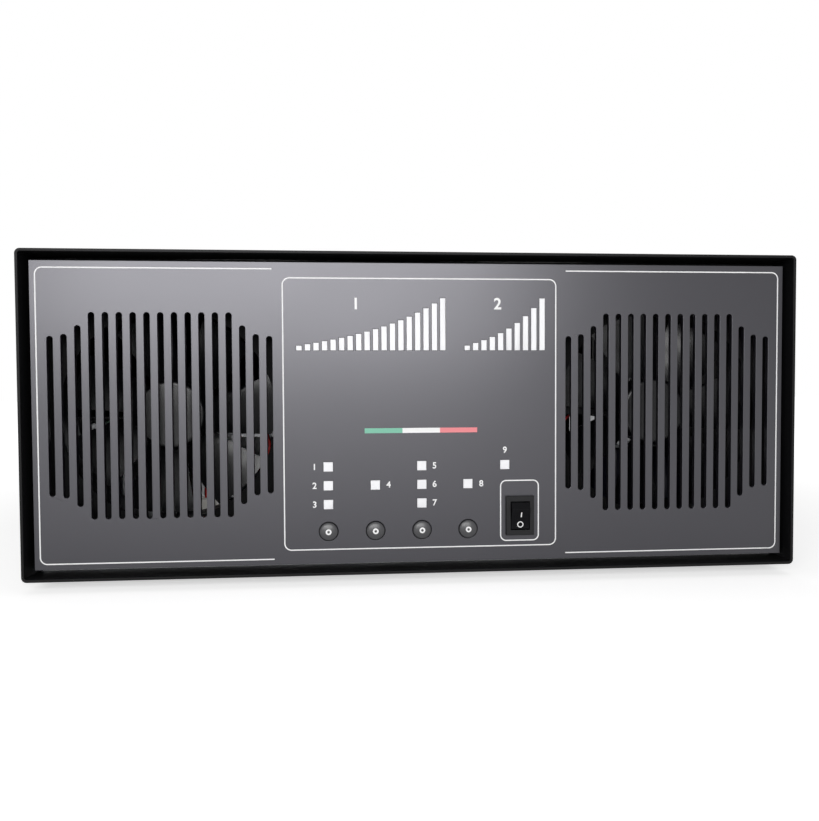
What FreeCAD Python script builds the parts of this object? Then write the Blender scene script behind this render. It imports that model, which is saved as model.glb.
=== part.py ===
"""HF linear amplifier: a sleeve-cased, fan-cooled power amplifier.

The chassis slides into a wrapped sheet-metal sleeve.  Its front panel carries two
slotted grilles, two bar meters, nine status windows, four push buttons and a rocker
switch, and stands on spacers in front of a bulkhead that carries the two fans.

Frame: +X to the right seen from the front, +Y to the back, +Z up.  The origin lies
at the middle of the object's outer box, on the surface that the feet stand on.
"""

import FreeCAD, Part
import Sketcher
import math
import os
from types import SimpleNamespace

# ---------------------------------------------------------------- driving sizes (mm)

SIZES = [
    # sleeve
    ("case_width", 414.2, "outer width of the sleeve"),
    ("case_height", 171.0, "outer height of the sleeve"),
    ("case_depth", 340.0, "length of the sleeve, front to back"),
    ("sleeve_wall", 1.5, "sheet thickness of the sleeve"),
    ("bend_radius", 2.7, "outer bend radius of the sleeve's corners"),
    ("side_vent_width", 3.5, "width of a vent slot in the sleeve's sides"),
    ("side_vent_height", 70.0, "height of those slots"),
    ("side_vent_pitch", 9.0, "distance between two of them"),
    ("side_vent_count", 12, "how many on each side"),
    ("side_vent_inset", 45.0, "last slot to the sleeve's back edge"),
    # chassis
    ("fit_gap", 0.4, "running gap between the chassis and the sleeve"),
    ("front_recess", 5.0, "front panel behind the sleeve's front edge"),
    ("rear_recess", 4.0, "rear panel in front of the sleeve's back edge"),
    ("pan_thick", 1.5, "bottom pan"),
    ("bulkhead_thick", 1.5, "front bulkhead"),
    ("rear_thick", 2.0, "rear panel"),
    ("rail_leg", 12.0, "leg of the corner rails"),
    ("rail_wall", 1.5, "wall of the corner rails"),
    # feet
    ("foot_height", 6.0, "rubber foot"),
    ("foot_radius", 10.0, "rubber foot where it meets the sleeve"),
    ("foot_taper", 1.5, "how much smaller its bottom radius is"),
    ("foot_inset_x", 38.0, "foot centre to the sleeve's side"),
    ("foot_inset_y", 50.0, "foot centre to the sleeve's ends"),
    ("foot_bore", 4.2, "radius of the recess for the foot's screw"),
    ("foot_seat", 3.0, "rubber left above that recess"),
    # front panel
    ("panel_side_gap", 4.8, "front panel's sides to the sleeve's outer sides"),
    ("panel_edge_gap", 5.2, "front panel's top and bottom to the sleeve's outer faces"),
    ("panel_thick", 3.0, "front panel"),
    ("panel_gap", 12.0, "space between the front panel and the bulkhead"),
    ("spacer_radius", 4.0, "round spacers that carry the front panel"),
    ("spacer_inset", 12.0, "outer spacers to the panel's edges"),
    ("spacer_inset_inner", 2.1, "inner spacers inside the middle field's sides"),
    ("centre_width", 153.2, "the panel's middle field, between the fans"),
    # grilles
    ("grille_drop", 0.3, "grille centre below the middle of the panel"),
    ("slot_margin", 4.0, "middle of the outermost slots inside the fan's sides"),
    ("slot_width", 3.1, "width of a slot"),
    ("slot_end_gap", 6.05, "ends of the long slots inside the fan's edges"),
    ("slot_full_count", 11, "how many long slots a grille has"),
    ("slot_third_less", 13.6, "how much shorter the slots beside the long ones are"),
    ("slot_second_less", 22.7, "the same of the last but one"),
    ("slot_first_less", 24.7, "the same of the outermost slots"),
    # bar meters
    ("bar_width", 3.05, "width of a bar"),
    ("bar_drop", 46.6, "foot of the bars below the panel's top edge"),
    ("bar_low", 2.7, "height of the lowest bar"),
    ("meter_left", 11.5, "first bar of the left meter inside the middle field"),
    ("meter_right", 10.63, "last bar of the right meter inside the middle field"),
    ("meter_gap", 13.258, "last bar of the left meter to the first of the right"),
    ("power_count", 18, "how many bars the left meter has"),
    ("power_rise", 0.7705, "growth of its bars, linear part"),
    ("power_swell", 0.002492, "growth of its bars, cubic part"),
    ("swr_pitch", 4.56, "distance between the right meter's bars"),
    ("swr_count", 10, "how many bars it has"),
    ("swr_rise", 1.3935, "growth of its bars, linear part"),
    ("swr_swell", 0.01775, "growth of its bars, cubic part"),
    ("lens_plate", 1.5, "backing plate of the lenses"),
    ("lens_border", 4.0, "how far that plate reaches past its windows"),
    ("lens_gap", 0.08, "play between a lens and its window"),
    # status windows and buttons
    ("column_count", 4, "columns of windows and buttons"),
    ("column_inset", 26.4, "first column inside the middle field"),
    ("column_gap", 28.4, "last column to the rocker switch"),
    ("status_size", 5.1, "side of a status window"),
    ("status_rise", 41.9, "middle row of status windows above the panel's bottom edge"),
    ("status_pitch", 10.1, "distance between their rows"),
    ("alarm_offset", 8.1, "single window left of the rocker switch's middle"),
    ("button_rise", 17.3, "row of buttons above the panel's bottom edge"),
    ("button_radius", 4.9, "button cap"),
    ("button_dome", 1.5, "height of the cap's dome"),
    ("button_edge", 0.5, "cap's edge in front of the panel"),
    ("button_gap", 0.3, "play round the cap"),
    ("button_flange", 1.3, "flange that keeps the button in, past its hole"),
    ("flange_thick", 1.2, "its thickness"),
    ("button_travel", 0.8, "how far a button goes in"),
    ("stem_radius", 1.75, "stem that works the key switch"),
    # rocker switch
    ("switch_inset", 23.1, "rocker switch's middle inside the middle field"),
    ("switch_rise", 24.2, "rocker switch's middle above the panel's bottom edge"),
    ("bezel_width", 15.4, "its bezel"),
    ("bezel_height", 21.4, "its bezel"),
    ("bezel_thick", 2.0, "its bezel, in front of the panel"),
    ("switch_body_width", 13.4, "its housing behind the bezel"),
    ("switch_body_height", 19.8, "its housing behind the bezel"),
    ("switch_body_depth", 14.0, "its housing behind the panel's face"),
    ("switch_play", 0.1, "play of the housing in its cut-out"),
    ("rim_thick", 0.8, "lip of the bezel round the rocker"),
    ("mouth_width", 10.6, "opening for the rocker"),
    ("mouth_height", 15.6, "opening for the rocker"),
    ("well_height", 18.4, "hollow behind the lip"),
    ("well_depth", 10.0, "hollow from the bezel's face"),
    ("rocker_width", 10.0, "rocker"),
    ("pivot_depth", 5.0, "rocker's pivot behind the bezel's face"),
    ("pivot_radius", 1.2, "rocker's pivot pins"),
    ("pivot_play", 0.05, "play of a pivot pin in its hole"),
    ("pivot_reach", 0.9, "how far a pivot pin enters the wall, with the side gap"),
    ("ridge_z", 5.7, "rocker's ridges from its middle"),
    ("ridge_y", 6.6, "rocker's ridges in front of its pivot"),
    ("saddle", 1.1, "hollow between the ridges"),
    ("shoulder_z", 8.3, "rocker's shoulders from its middle"),
    ("shoulder_y", 2.85, "rocker's shoulders in front of its pivot"),
    ("keel_z", 5.0, "half length of the rocker's underside"),
    ("keel_y", 2.6, "underside behind the pivot"),
    ("rocker_tilt", 15.0, "degrees from the middle to either end"),
    ("tab_width", 4.8, "switch terminals"),
    ("tab_thick", 0.8, "switch terminals"),
    ("tab_length", 8.0, "switch terminals"),
    # control board
    ("board_thick", 1.6, "printed circuit boards"),
    ("board_gap", 8.0, "control board behind the front panel"),
    ("board_inset", 6.6, "its sides inside the middle field"),
    ("board_top_inset", 4.3, "its top edge below the panel's"),
    ("board_bottom_inset", 9.8, "its bottom edge above the panel's"),
    ("board_notch", 3.0, "cut-away round the rocker switch"),
    ("board_post", 3.0, "radius of its posts"),
    ("board_post_inset", 4.2, "posts from its edges"),
    ("key_size", 6.0, "key switches"),
    ("key_gap", 0.6, "button stem to key switch when released, past the travel"),
    ("led_size", 2.0, "light-emitting diodes"),
    ("led_height", 1.1, "light-emitting diodes"),
    # fans
    ("fan_side_gap", 10.5, "fan frames to the sleeve's outer sides"),
    ("fan_depth", 25.4, "depth of a fan frame"),
    ("fan_corner", 6.0, "corner radius of a fan frame"),
    ("fan_flange", 4.0, "flange at each end of the frame"),
    ("duct_inset", 2.4, "fan duct inside the frame's sides"),
    ("duct_wall", 1.9, "wall of the duct between the flanges"),
    ("fan_hole_inset", 7.5, "screw holes inside the frame's sides"),
    ("fan_hole", 2.2, "radius of those holes"),
    ("tip_gap", 1.6, "blade tips to the duct"),
    ("hub_radius", 19.0, "rotor hub"),
    ("hub_wall", 2.4, "rotor hub"),
    ("hub_front", 1.5, "hub behind the frame's front"),
    ("hub_back", 18.5, "hub's open end behind the frame's front"),
    ("blade_count", 7, "blades of a rotor"),
    ("blade_front", 3.0, "blades behind the frame's front"),
    ("blade_span", 15.2, "axial height of the blades"),
    ("blade_thick", 1.4, "blade thickness"),
    ("blade_camber", 2.2, "how far a blade's section bows"),
    ("root_chord", 17.0, "tangential width of a blade at the hub"),
    ("tip_chord", 36.0, "tangential width of a blade at its tip"),
    ("tip_sweep", 7.0, "how far the tip leads the root"),
    ("shaft_radius", 1.5, "rotor shaft"),
    ("shaft_play", 0.05, "play of the shaft in its bearing"),
    ("bearing_radius", 4.0, "bearing tube"),
    ("bearing_front", 6.5, "bearing tube behind the frame's front"),
    ("motor_base", 3.0, "thickness of the motor's base"),
    ("motor_radius", 18.0, "motor's base"),
    ("stator_radius", 14.5, "windings inside the hub"),
    ("strut_width", 5.0, "struts that carry the motor"),
    ("fan_screw", 1.9, "radius of the fan screws"),
    ("fan_screw_head", 3.8, "radius of their heads"),
    ("head_height", 2.2, "height of screw heads"),
    # power amplifier module
    ("sink_gap", 14.0, "heatsink behind the fan"),
    ("module_inset", 4.0, "heatsink and power supply inside the fan's sides"),
    ("sink_length", 190.0, "heatsink"),
    ("sink_height", 76.0, "heatsink with its fins"),
    ("sink_base", 9.0, "heatsink's base"),
    ("fin_count", 13, "heatsink fins"),
    ("fin_thick", 2.2, "heatsink fins"),
    ("amp_board_inset", 3.0, "amplifier board inside the heatsink's edges"),
    ("device_length", 34.0, "transistor flange"),
    ("device_width", 10.0, "transistor flange"),
    ("device_flange", 1.8, "transistor flange"),
    ("device_cap_length", 21.0, "ceramic cap of a transistor"),
    ("device_cap_height", 3.6, "ceramic cap of a transistor"),
    ("device_play", 0.8, "board's cut-out round a transistor"),
    ("device_lead", 34.0, "transistors in front of the output transformer's core"),
    ("device_spacing", 44.0, "between the two transistors"),
    ("core_length", 62.0, "output transformer's ferrite core"),
    ("core_width", 44.0, "output transformer's ferrite core"),
    ("core_height", 26.0, "output transformer's ferrite core"),
    ("core_bore", 7.0, "radius of the core's two holes"),
    ("core_back_gap", 10.0, "core to the heatsink's back"),
    ("driver_core_length", 26.0, "input transformer's core"),
    ("driver_core_width", 22.0, "input transformer's core"),
    ("driver_core_height", 13.0, "input transformer's core"),
    ("driver_bore", 3.0, "radius of the input core's holes"),
    ("driver_y", 30.0, "input core from the heatsink's front"),
    ("plug_depth", 9.0, "white plug housings"),
    ("plug_height", 11.0, "white plug housings"),
    ("plug_narrow", 9.5, "width of the outer housing"),
    ("plug_wide", 16.0, "width of the inner housing"),
    ("plug_outer", 29.4, "outer housing from the fan's middle"),
    ("plug_inner", 12.6, "inner housing from the fan's middle"),
    ("plug_drop", 62.0, "their bottom below the fans' height"),
    # filter board
    ("stand_height", 10.0, "posts under the filter and supply boards"),
    ("stand_radius", 3.0, "those posts"),
    ("stand_inset", 6.0, "those posts from their board's edges"),
    ("filter_width", 132.0, "low-pass filter board"),
    ("filter_length", 200.0, "low-pass filter board"),
    ("filter_rear_gap", 40.0, "filter board in front of the rear panel"),
    ("coil_outer", 16.0, "outer radius of the filter coils"),
    ("coil_inner", 7.0, "inner radius of the filter coils"),
    ("coil_depth", 9.0, "filter coils along their axis"),
    ("ring_edge", 2.0, "bevel of the coils' and the choke's edges"),
    ("coil_rows", 4, "rows of filter coils"),
    ("coil_spacing", 42.0, "between those rows"),
    ("coil_side", 24.0, "filter coils from the board's middle line"),
    ("relay_length", 28.0, "relays"),
    ("relay_width", 12.6, "relays"),
    ("relay_height", 16.0, "relays"),
    ("relay_side", 52.0, "relays from the board's middle line"),
    # power supply
    ("supply_length", 215.0, "power supply board"),
    ("supply_gap", 18.0, "power supply behind the fan"),
    ("can_columns", 3, "reservoir capacitors side by side"),
    ("can_rows", 2, "rows of reservoir capacitors"),
    ("can_height", 45.0, "reservoir capacitors"),
    ("can_gap", 4.0, "between the capacitors"),
    ("can_edge", 7.0, "capacitors inside the board's sides"),
    ("can_front", 9.0, "first capacitors from the board's front"),
    ("transformer_side", 48.0, "switching transformer"),
    ("transformer_height", 42.0, "switching transformer"),
    ("transformer_core", 20.0, "thickness of its core"),
    ("transformer_cheek", 4.0, "core round the winding"),
    ("transformer_gap", 18.0, "switching transformer to the mains choke"),
    ("choke_outer", 20.0, "outer radius of the mains choke"),
    ("choke_inner", 8.0, "inner radius of the mains choke"),
    ("choke_depth", 12.0, "height of the mains choke"),
    ("choke_back_gap", 5.0, "mains choke to the board's back edge"),
    ("cooler_height", 58.0, "supply heatsinks"),
    ("cooler_thick", 3.0, "supply heatsinks"),
    ("cooler_inset", 7.5, "supply heatsinks inside the board's sides"),
    ("cooler_gap", 14.0, "supply heatsinks behind the capacitors"),
    ("cooler_back_gap", 8.0, "supply heatsinks to the board's back edge"),
    # rear panel
    ("rear_vent_width", 4.0, "vent slots of the rear panel"),
    ("rear_vent_height", 100.0, "vent slots of the rear panel"),
    ("rear_vent_pitch", 8.5, "between the rear vent slots"),
    ("rear_vent_count", 12, "rear vent slots in a group"),
    ("rf_x", -42.0, "coaxial sockets"),
    ("rf_upper", 42.0, "upper coaxial socket above the middle"),
    ("rf_lower", -8.0, "lower coaxial socket"),
    ("rf_flange", 25.4, "side of a coaxial socket's flange"),
    ("rf_flange_thick", 1.8, "coaxial socket's flange"),
    ("rf_barrel", 7.94, "radius of its threaded barrel"),
    ("rf_barrel_length", 11.0, "its threaded barrel"),
    ("rf_bore", 6.2, "inside of its barrel"),
    ("rf_back", 7.0, "radius of its body behind the panel"),
    ("rf_back_length", 7.0, "its body behind the panel's back"),
    ("rf_screw_pitch", 18.2, "its flange screws"),
    ("rf_contact", 2.9, "its centre contact"),
    ("rf_contact_bore", 2.0, "hole of the centre contact"),
    ("m3_radius", 1.5, "radius of the small screws"),
    ("m3_hole", 1.7, "holes for the small screws"),
    ("m3_head", 2.9, "heads of the small screws"),
    ("m3_head_height", 1.7, "heads of the small screws"),
    ("m3_length", 6.0, "shanks of the small screws"),
    ("jack_x", 8.0, "first phono jack"),
    ("jack_pitch", 20.0, "between the phono jacks"),
    ("jack_z", 48.0, "phono jacks above the middle"),
    ("jack_barrel", 4.15, "radius of a phono jack's shell"),
    ("jack_length", 8.0, "phono jack's shell"),
    ("jack_flange", 5.6, "phono jack's flange"),
    ("jack_bore", 3.3, "inside of the shell"),
    ("jack_contact", 1.6, "hole for the plug's pin"),
    ("inlet_x", 34.0, "mains inlet"),
    ("inlet_z", -44.0, "mains inlet"),
    ("inlet_width", 50.0, "mains inlet's flange"),
    ("inlet_height", 27.0, "mains inlet's flange"),
    ("inlet_flange", 3.0, "mains inlet's flange"),
    ("inlet_body_width", 28.0, "mains inlet behind its flange"),
    ("inlet_body_height", 20.4, "mains inlet behind its flange"),
    ("inlet_body_depth", 17.0, "mains inlet behind its flange"),
    ("inlet_play", 0.2, "play of the inlet in its cut-out"),
    ("inlet_mouth_width", 24.4, "recess for the plug"),
    ("inlet_mouth_height", 16.6, "recess for the plug"),
    ("inlet_mouth_depth", 16.8, "recess for the plug"),
    ("inlet_mouth_bevel", 4.0, "two cut corners of that recess"),
    ("inlet_screws", 40.0, "between the inlet's screws"),
    ("prong_width", 2.0, "inlet contacts"),
    ("prong_height", 4.0, "inlet contacts"),
    ("prong_length", 12.0, "inlet contacts inside the recess"),
    ("prong_pitch", 7.0, "live and neutral contacts from the middle"),
    ("prong_drop", 1.5, "those contacts below the middle"),
    ("prong_rise", 3.5, "earth contact above the middle"),
    ("fuse_x", 34.0, "fuse holder"),
    ("fuse_z", 2.0, "fuse holder"),
    ("fuse_body", 6.0, "radius of the fuse holder behind the panel"),
    ("fuse_flange", 8.5, "radius of its flange"),
    ("fuse_flange_thick", 2.5, "its flange"),
    ("fuse_cap", 6.2, "radius of its cap"),
    ("fuse_cap_length", 6.0, "its cap in front of the flange"),
    ("fuse_length", 32.0, "fuse holder behind the panel's face"),
    ("stud_x", -42.0, "earth stud"),
    ("stud_z", -52.0, "earth stud"),
    ("stud_radius", 3.0, "earth stud"),
    ("stud_reach", 18.0, "earth stud past the panel's face"),
    ("stud_inside", 8.0, "earth stud inside the panel"),
    ("stud_neck", 0.4, "depth of the groove where its free end's thread starts"),
    ("stud_neck_width", 1.0, "width of that groove"),
    ("nut_across", 10.0, "earth nuts, across flats"),
    ("nut_height", 5.0, "earth nuts"),
    ("nut_play", 0.05, "gap between the nut's bore and the stud"),
    ("washer_radius", 6.2, "earth washer"),
    ("washer_thick", 1.2, "earth washer"),
    # leads
    ("fan_lead", 0.8, "radius of the fans' leads"),
    ("fan_lead_spread", 2.6, "between the two leads of a fan"),
    ("coax_lead", 1.5, "radius of the coaxial leads"),
    ("coax_spread", 14.0, "between their ends on the filter board"),
    ("mains_lead", 1.3, "radius of the mains leads"),
    ("supply_lead", 1.5, "radius of the leads from the supply to the amplifier"),
    ("supply_lead_spread", 8.0, "between those two leads"),
    ("supply_lead_place", 20.4, "those leads behind the board's front edge"),
    ("fuse_tag", 2.8, "mains leads from the middle of the fuse holder's back"),
    ("lead_pitch", 6.0, "between the ends of the switch's leads on the board"),
    ("lead_inset", 3.5, "ends of leads inside the edges of their board"),
]


class Size:
    """A number that remembers the formula it came from, for setExpression."""

    def __init__(self, value, text):
        self.value = value
        self.text = text

    def _join(self, other, sign, result):
        text = other.text if isinstance(other, Size) else repr(other)
        return Size(result, "(%s %s %s)" % (self.text, sign, text))

    def __add__(self, other):
        return self._join(other, "+", self.value + number(other))

    def __sub__(self, other):
        return self._join(other, "-", self.value - number(other))

    def __mul__(self, other):
        return self._join(other, "*", self.value * number(other))

    def __truediv__(self, other):
        return self._join(other, "/", self.value / number(other))

    def __radd__(self, other):
        return Size(other, repr(other)) + self

    def __rsub__(self, other):
        return Size(other, repr(other)) - self

    def __rmul__(self, other):
        return Size(other, repr(other)) * self

    def __neg__(self):
        return Size(-1, "-1") * self


def number(size):
    return size.value if isinstance(size, Size) else size


doc = FreeCAD.newDocument("linear_amplifier")
sheet = doc.addObject("Spreadsheet::Sheet", "Sizes")
for row, (alias, size_value, meaning) in enumerate(SIZES, start=1):
    sheet.set("A%d" % row, alias)
    sheet.set("B%d" % row, str(size_value))
    sheet.setAlias("B%d" % row, alias)
    sheet.set("C%d" % row, meaning)
doc.recompute()
D = SimpleNamespace(**{alias: Size(size_value, "Sizes." + alias) for alias, size_value, _ in SIZES})

# ---------------------------------------------------------------- shared places

Y_FRONT = -(D.case_depth + D.stud_reach - D.rear_recess) / 2
Y_PANEL = Y_FRONT + D.front_recess
Y_PANEL_BACK = Y_PANEL + D.panel_thick
Y_BULKHEAD = Y_PANEL_BACK + D.panel_gap
Y_FAN = Y_BULKHEAD + D.bulkhead_thick
Y_FAN_BACK = Y_FAN + D.fan_depth
Y_REAR_FACE = Y_FRONT + D.case_depth - D.rear_recess
Y_REAR_INSIDE = Y_REAR_FACE - D.rear_thick
Z_FLOOR = D.foot_height + D.sleeve_wall
Z_DECK = Z_FLOOR + D.pan_thick
Z_MID = D.foot_height + D.case_height / 2
Z_ROOF = D.foot_height + D.case_height - D.sleeve_wall
Z_CHASSIS_TOP = Z_ROOF - D.fit_gap
X_CHASSIS = D.case_width / 2 - D.sleeve_wall - D.fit_gap
Z_FAN = Z_MID - D.grille_drop
PANEL_WIDTH = D.case_width - 2 * D.panel_side_gap
PANEL_HEIGHT = D.case_height - 2 * D.panel_edge_gap
PANEL_TOP = PANEL_HEIGHT / 2
CENTRE_SIDE = D.centre_width / 2
FAN_SIZE = D.case_width / 2 - CENTRE_SIDE - D.fan_side_gap
FAN_X = D.case_width / 2 - D.fan_side_gap - FAN_SIZE / 2
DUCT_RADIUS = FAN_SIZE / 2 - D.duct_inset
ROTOR_TIP = DUCT_RADIUS - D.tip_gap
FAN_HOLE_REACH = FAN_SIZE / 2 - D.fan_hole_inset
MODULE_WIDTH = FAN_SIZE - 2 * D.module_inset
SWITCH_X = CENTRE_SIDE - D.switch_inset
SWITCH_Z = D.switch_rise - PANEL_TOP
BUTTON_Z = D.button_rise - PANEL_TOP
STATUS_Z = D.status_rise - PANEL_TOP
BAR_FOOT = PANEL_TOP - D.bar_drop
FOOT_X = D.case_width / 2 - D.foot_inset_x
FOOT_YS = (Y_FRONT + D.foot_inset_y, Y_FRONT + D.case_depth - D.foot_inset_y)
RAIL_SCREW_Z = D.rail_leg / 2
RAIL_SCREW_YS = tuple(Y_FAN + (Y_REAR_INSIDE - Y_FAN) * share for share in (0.08, 0.5, 0.92))

NODES = []

# ---------------------------------------------------------------- document helpers


def bind(feature, path, size):
    """Ties a property to the sheet, if its size comes from there."""
    if isinstance(size, Size):
        feature.setExpression(path, size.text)


def vector(point):
    return FreeCAD.Vector(*(number(part) for part in point))


def place(feature, at):
    feature.Placement.Base = vector(at)
    for axis, part in zip("xyz", at):
        bind(feature, "Placement.Base." + axis, part)
    return feature


def keep(feature, label):
    """Names a finished sub-part and lists it for export."""
    feature.Label = label
    NODES.append(feature)
    return feature


def new_body(name, at):
    return place(doc.addObject("PartDesign::Body", name), at)


def origin_feature(body, role):
    return next(feature for feature in body.Origin.OriginFeatures if feature.Role == role)


def new_sketch(body, plane, offset=0):
    """A sketch on one of the body's planes, moved along that plane's positive axis."""
    sketch = body.newObject("Sketcher::SketchObject", body.Name + "_sketch")
    sketch.AttachmentSupport = [(origin_feature(body, plane), "")]
    sketch.MapMode = "FlatFace"
    along_normal = -1 * offset if plane == "XZ_Plane" else offset
    sketch.AttachmentOffset.Base = FreeCAD.Vector(0, 0, number(along_normal))
    bind(sketch, "AttachmentOffset.Base.z", along_normal)
    return sketch


def on_front_plane(sketch):
    """Whether the sketch's normal points along -Y, as on the XZ plane."""
    return sketch.AttachmentSupport[0][0].Role == "XZ_Plane"


def hold_point(sketch, geometry, end, point):
    """Dimensions one point of the sketch from its origin."""
    for kind, part, axis in zip(("DistanceX", "DistanceY"), point, (-2, -1)):
        if abs(number(part)) < 1e-9:
            sketch.addConstraint(Sketcher.Constraint("PointOnObject", geometry, end, axis))
            continue
        index = sketch.addConstraint(
            Sketcher.Constraint(kind, -1, 1, geometry, end, float(number(part))))
        bind(sketch, "Constraints[%d]" % index, part)


def draw_arc(sketch, start, stop, rise):
    """An arc that bows to the right of the way from start to stop by a rise, or to the
    left by a negative one.  Returns its number and which of its ends come first and last."""
    along = stop - start
    bow = abs(rise)
    radius = (along.Length ** 2 / 4 + bow ** 2) / (2 * bow)
    right = FreeCAD.Vector(along.y, -along.x, 0).normalize()
    centre = (start + stop) / 2 + right * (rise - math.copysign(radius, rise))
    first, last = (start, stop) if rise > 0 else (stop, start)
    from_angle = math.atan2(first.y - centre.y, first.x - centre.x)
    to_angle = math.atan2(last.y - centre.y, last.x - centre.x)
    if to_angle < from_angle:
        to_angle += 2 * math.pi
    circle = Part.Circle(centre, FreeCAD.Vector(0, 0, 1), radius)
    geometry = sketch.addGeometry(Part.ArcOfCircle(circle, from_angle, to_angle))
    return (geometry, 1, 2) if rise > 0 else (geometry, 2, 1)


def draw_outline(sketch, nodes):
    """A closed outline.  A node is (u, v), or (u, v, rise) where an arc leads on to the
    next node and bows to the right of the way by that rise."""
    ends = []
    for node, following in zip(nodes, nodes[1:] + nodes[:1]):
        start = FreeCAD.Vector(number(node[0]), number(node[1]), 0)
        stop = FreeCAD.Vector(number(following[0]), number(following[1]), 0)
        if len(node) == 2:
            ends.append((sketch.addGeometry(Part.LineSegment(start, stop)), 1, 2))
            continue
        ends.append(draw_arc(sketch, start, stop, number(node[2])))
        across, up = following[0] - node[0], following[1] - node[1]
        bow = node[2] if number(node[2]) > 0 else -1 * node[2]
        radius = ((across * across + up * up) / 4 + bow * bow) / (2 * bow)
        index = sketch.addConstraint(
            Sketcher.Constraint("Radius", ends[-1][0], float(number(radius))))
        bind(sketch, "Constraints[%d]" % index, radius)
    for (geometry, _, last), (next_one, first, _) in zip(ends, ends[1:] + ends[:1]):
        sketch.addConstraint(Sketcher.Constraint("Coincident", geometry, last, next_one, first))
    for (geometry, first, _), node in zip(ends, nodes):
        hold_point(sketch, geometry, first, node[:2])


def draw_rectangle(sketch, u, v, width, height):
    left, right = u - width / 2, u + width / 2
    low, high = v - height / 2, v + height / 2
    draw_outline(sketch, [(left, low), (right, low), (right, high), (left, high)])


def draw_circle(sketch, u, v, radius):
    circle = Part.Circle(FreeCAD.Vector(number(u), number(v), 0), FreeCAD.Vector(0, 0, 1),
                         number(radius))
    geometry = sketch.addGeometry(circle)
    hold_point(sketch, geometry, 3, (u, v))
    index = sketch.addConstraint(Sketcher.Constraint("Radius", geometry, float(number(radius))))
    bind(sketch, "Constraints[%d]" % index, radius)


def draw_slot(sketch, u, v, width, length):
    """An upright slot with round ends."""
    up = FreeCAD.Vector(0, 0, 1)
    radius = width / 2
    reach = length / 2 - radius
    middle, half, r = number(u), number(reach), number(radius)
    top = Part.ArcOfCircle(
        Part.Circle(FreeCAD.Vector(middle, number(v) + half, 0), up, r), 0, math.pi)
    bottom = Part.ArcOfCircle(
        Part.Circle(FreeCAD.Vector(middle, number(v) - half, 0), up, r), math.pi, 2 * math.pi)
    left = Part.LineSegment(top.EndPoint, bottom.StartPoint)
    right = Part.LineSegment(bottom.EndPoint, top.StartPoint)
    first = sketch.addGeometry(top)
    for shape in (left, bottom, right):
        sketch.addGeometry(shape)
    joints = ((first, 2, first + 1, 1), (first + 1, 2, first + 2, 1),
              (first + 2, 2, first + 3, 1), (first + 3, 2, first, 1))
    for joint in joints:
        sketch.addConstraint(Sketcher.Constraint("Tangent", *joint))
    hold_point(sketch, first, 3, (u, v + reach))
    hold_point(sketch, first + 2, 3, (u, v - reach))
    index = sketch.addConstraint(Sketcher.Constraint("Radius", first, float(r)))
    bind(sketch, "Constraints[%d]" % index, radius)
    sketch.addConstraint(Sketcher.Constraint("Equal", first, first + 2))


def pad(body, sketch, length, positive=True):
    """Material from the sketch towards +X, +Y or +Z, or the other way."""
    feature = body.newObject("PartDesign::Pad", body.Name + "_pad")
    feature.Profile = sketch
    feature.Length = number(length)
    bind(feature, "Length", length)
    feature.Reversed = positive == on_front_plane(sketch)
    doc.recompute()
    return feature


def pocket(body, sketch, depth=None, positive=True):
    """A cut from the sketch towards +X, +Y or +Z, or the other way; through all without
    a depth.  A cut that takes nothing away is an error."""
    before = body.Shape.Volume
    feature = body.newObject("PartDesign::Pocket", body.Name + "_pocket")
    feature.Profile = sketch
    feature.Reversed = positive != on_front_plane(sketch)
    if depth is None:
        feature.Type = "ThroughAll"
    else:
        feature.Length = number(depth)
        bind(feature, "Length", depth)
    doc.recompute()
    if not body.Shape.Volume < before:
        raise RuntimeError(body.Name + ": a pocket cuts nothing")
    return feature


def turn(body, sketch, kind="PartDesign::Revolution"):
    """A full turn about the sketch's upright axis."""
    feature = body.newObject(kind, body.Name + "_turn")
    feature.Profile = sketch
    feature.ReferenceAxis = (sketch, ["V_Axis"])
    feature.Angle = 360
    doc.recompute()
    return feature


def edges_where(shape, test):
    return ["Edge%d" % (index + 1) for index, edge in enumerate(shape.Edges) if test(edge)]


def runs_along(edge, axis):
    """Whether a straight edge runs along the axis x, y or z."""
    box = edge.BoundBox
    spans = {"x": box.XLength, "y": box.YLength, "z": box.ZLength}
    others = [span for name, span in spans.items() if name != axis]
    return spans[axis] > 1e-3 and max(others) < 1e-3


def fillet(body, feature, edges, radius, kind="PartDesign::Fillet"):
    rounding = body.newObject(kind, body.Name + "_fillet")
    rounding.Base = (feature, edges)
    if kind == "PartDesign::Fillet":
        rounding.Radius = number(radius)
        bind(rounding, "Radius", radius)
    else:
        rounding.Size = number(radius)
        bind(rounding, "Size", radius)
    doc.recompute()
    return rounding


def repeat_along(body, features, role, pitch, count, reverse=False):
    """Copies of the features in a row along one of the body's axes."""
    pattern = body.newObject("PartDesign::LinearPattern", body.Name + "_row")
    pattern.Originals = features
    pattern.Direction = (origin_feature(body, role), [""])
    pattern.Mode = "Spacing"
    pattern.Offset = number(pitch)
    bind(pattern, "Offset", pitch)
    pattern.Occurrences = int(number(count))
    bind(pattern, "Occurrences", count)
    pattern.Reversed = reverse
    body.Tip = pattern
    doc.recompute()
    return pattern


def repeat_round(body, features, role, count):
    """Copies of the features round one of the body's axes."""
    pattern = body.newObject("PartDesign::PolarPattern", body.Name + "_round")
    pattern.Originals = features
    pattern.Axis = (origin_feature(body, role), [""])
    pattern.Angle = 360
    pattern.Occurrences = int(number(count))
    bind(pattern, "Occurrences", count)
    body.Tip = pattern
    doc.recompute()
    return pattern


def box(name, corner, span):
    feature = doc.addObject("Part::Box", name)
    for prop, part in zip(("Length", "Width", "Height"), span):
        setattr(feature, prop, number(part))
        bind(feature, prop, part)
    return place(feature, corner)


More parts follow.
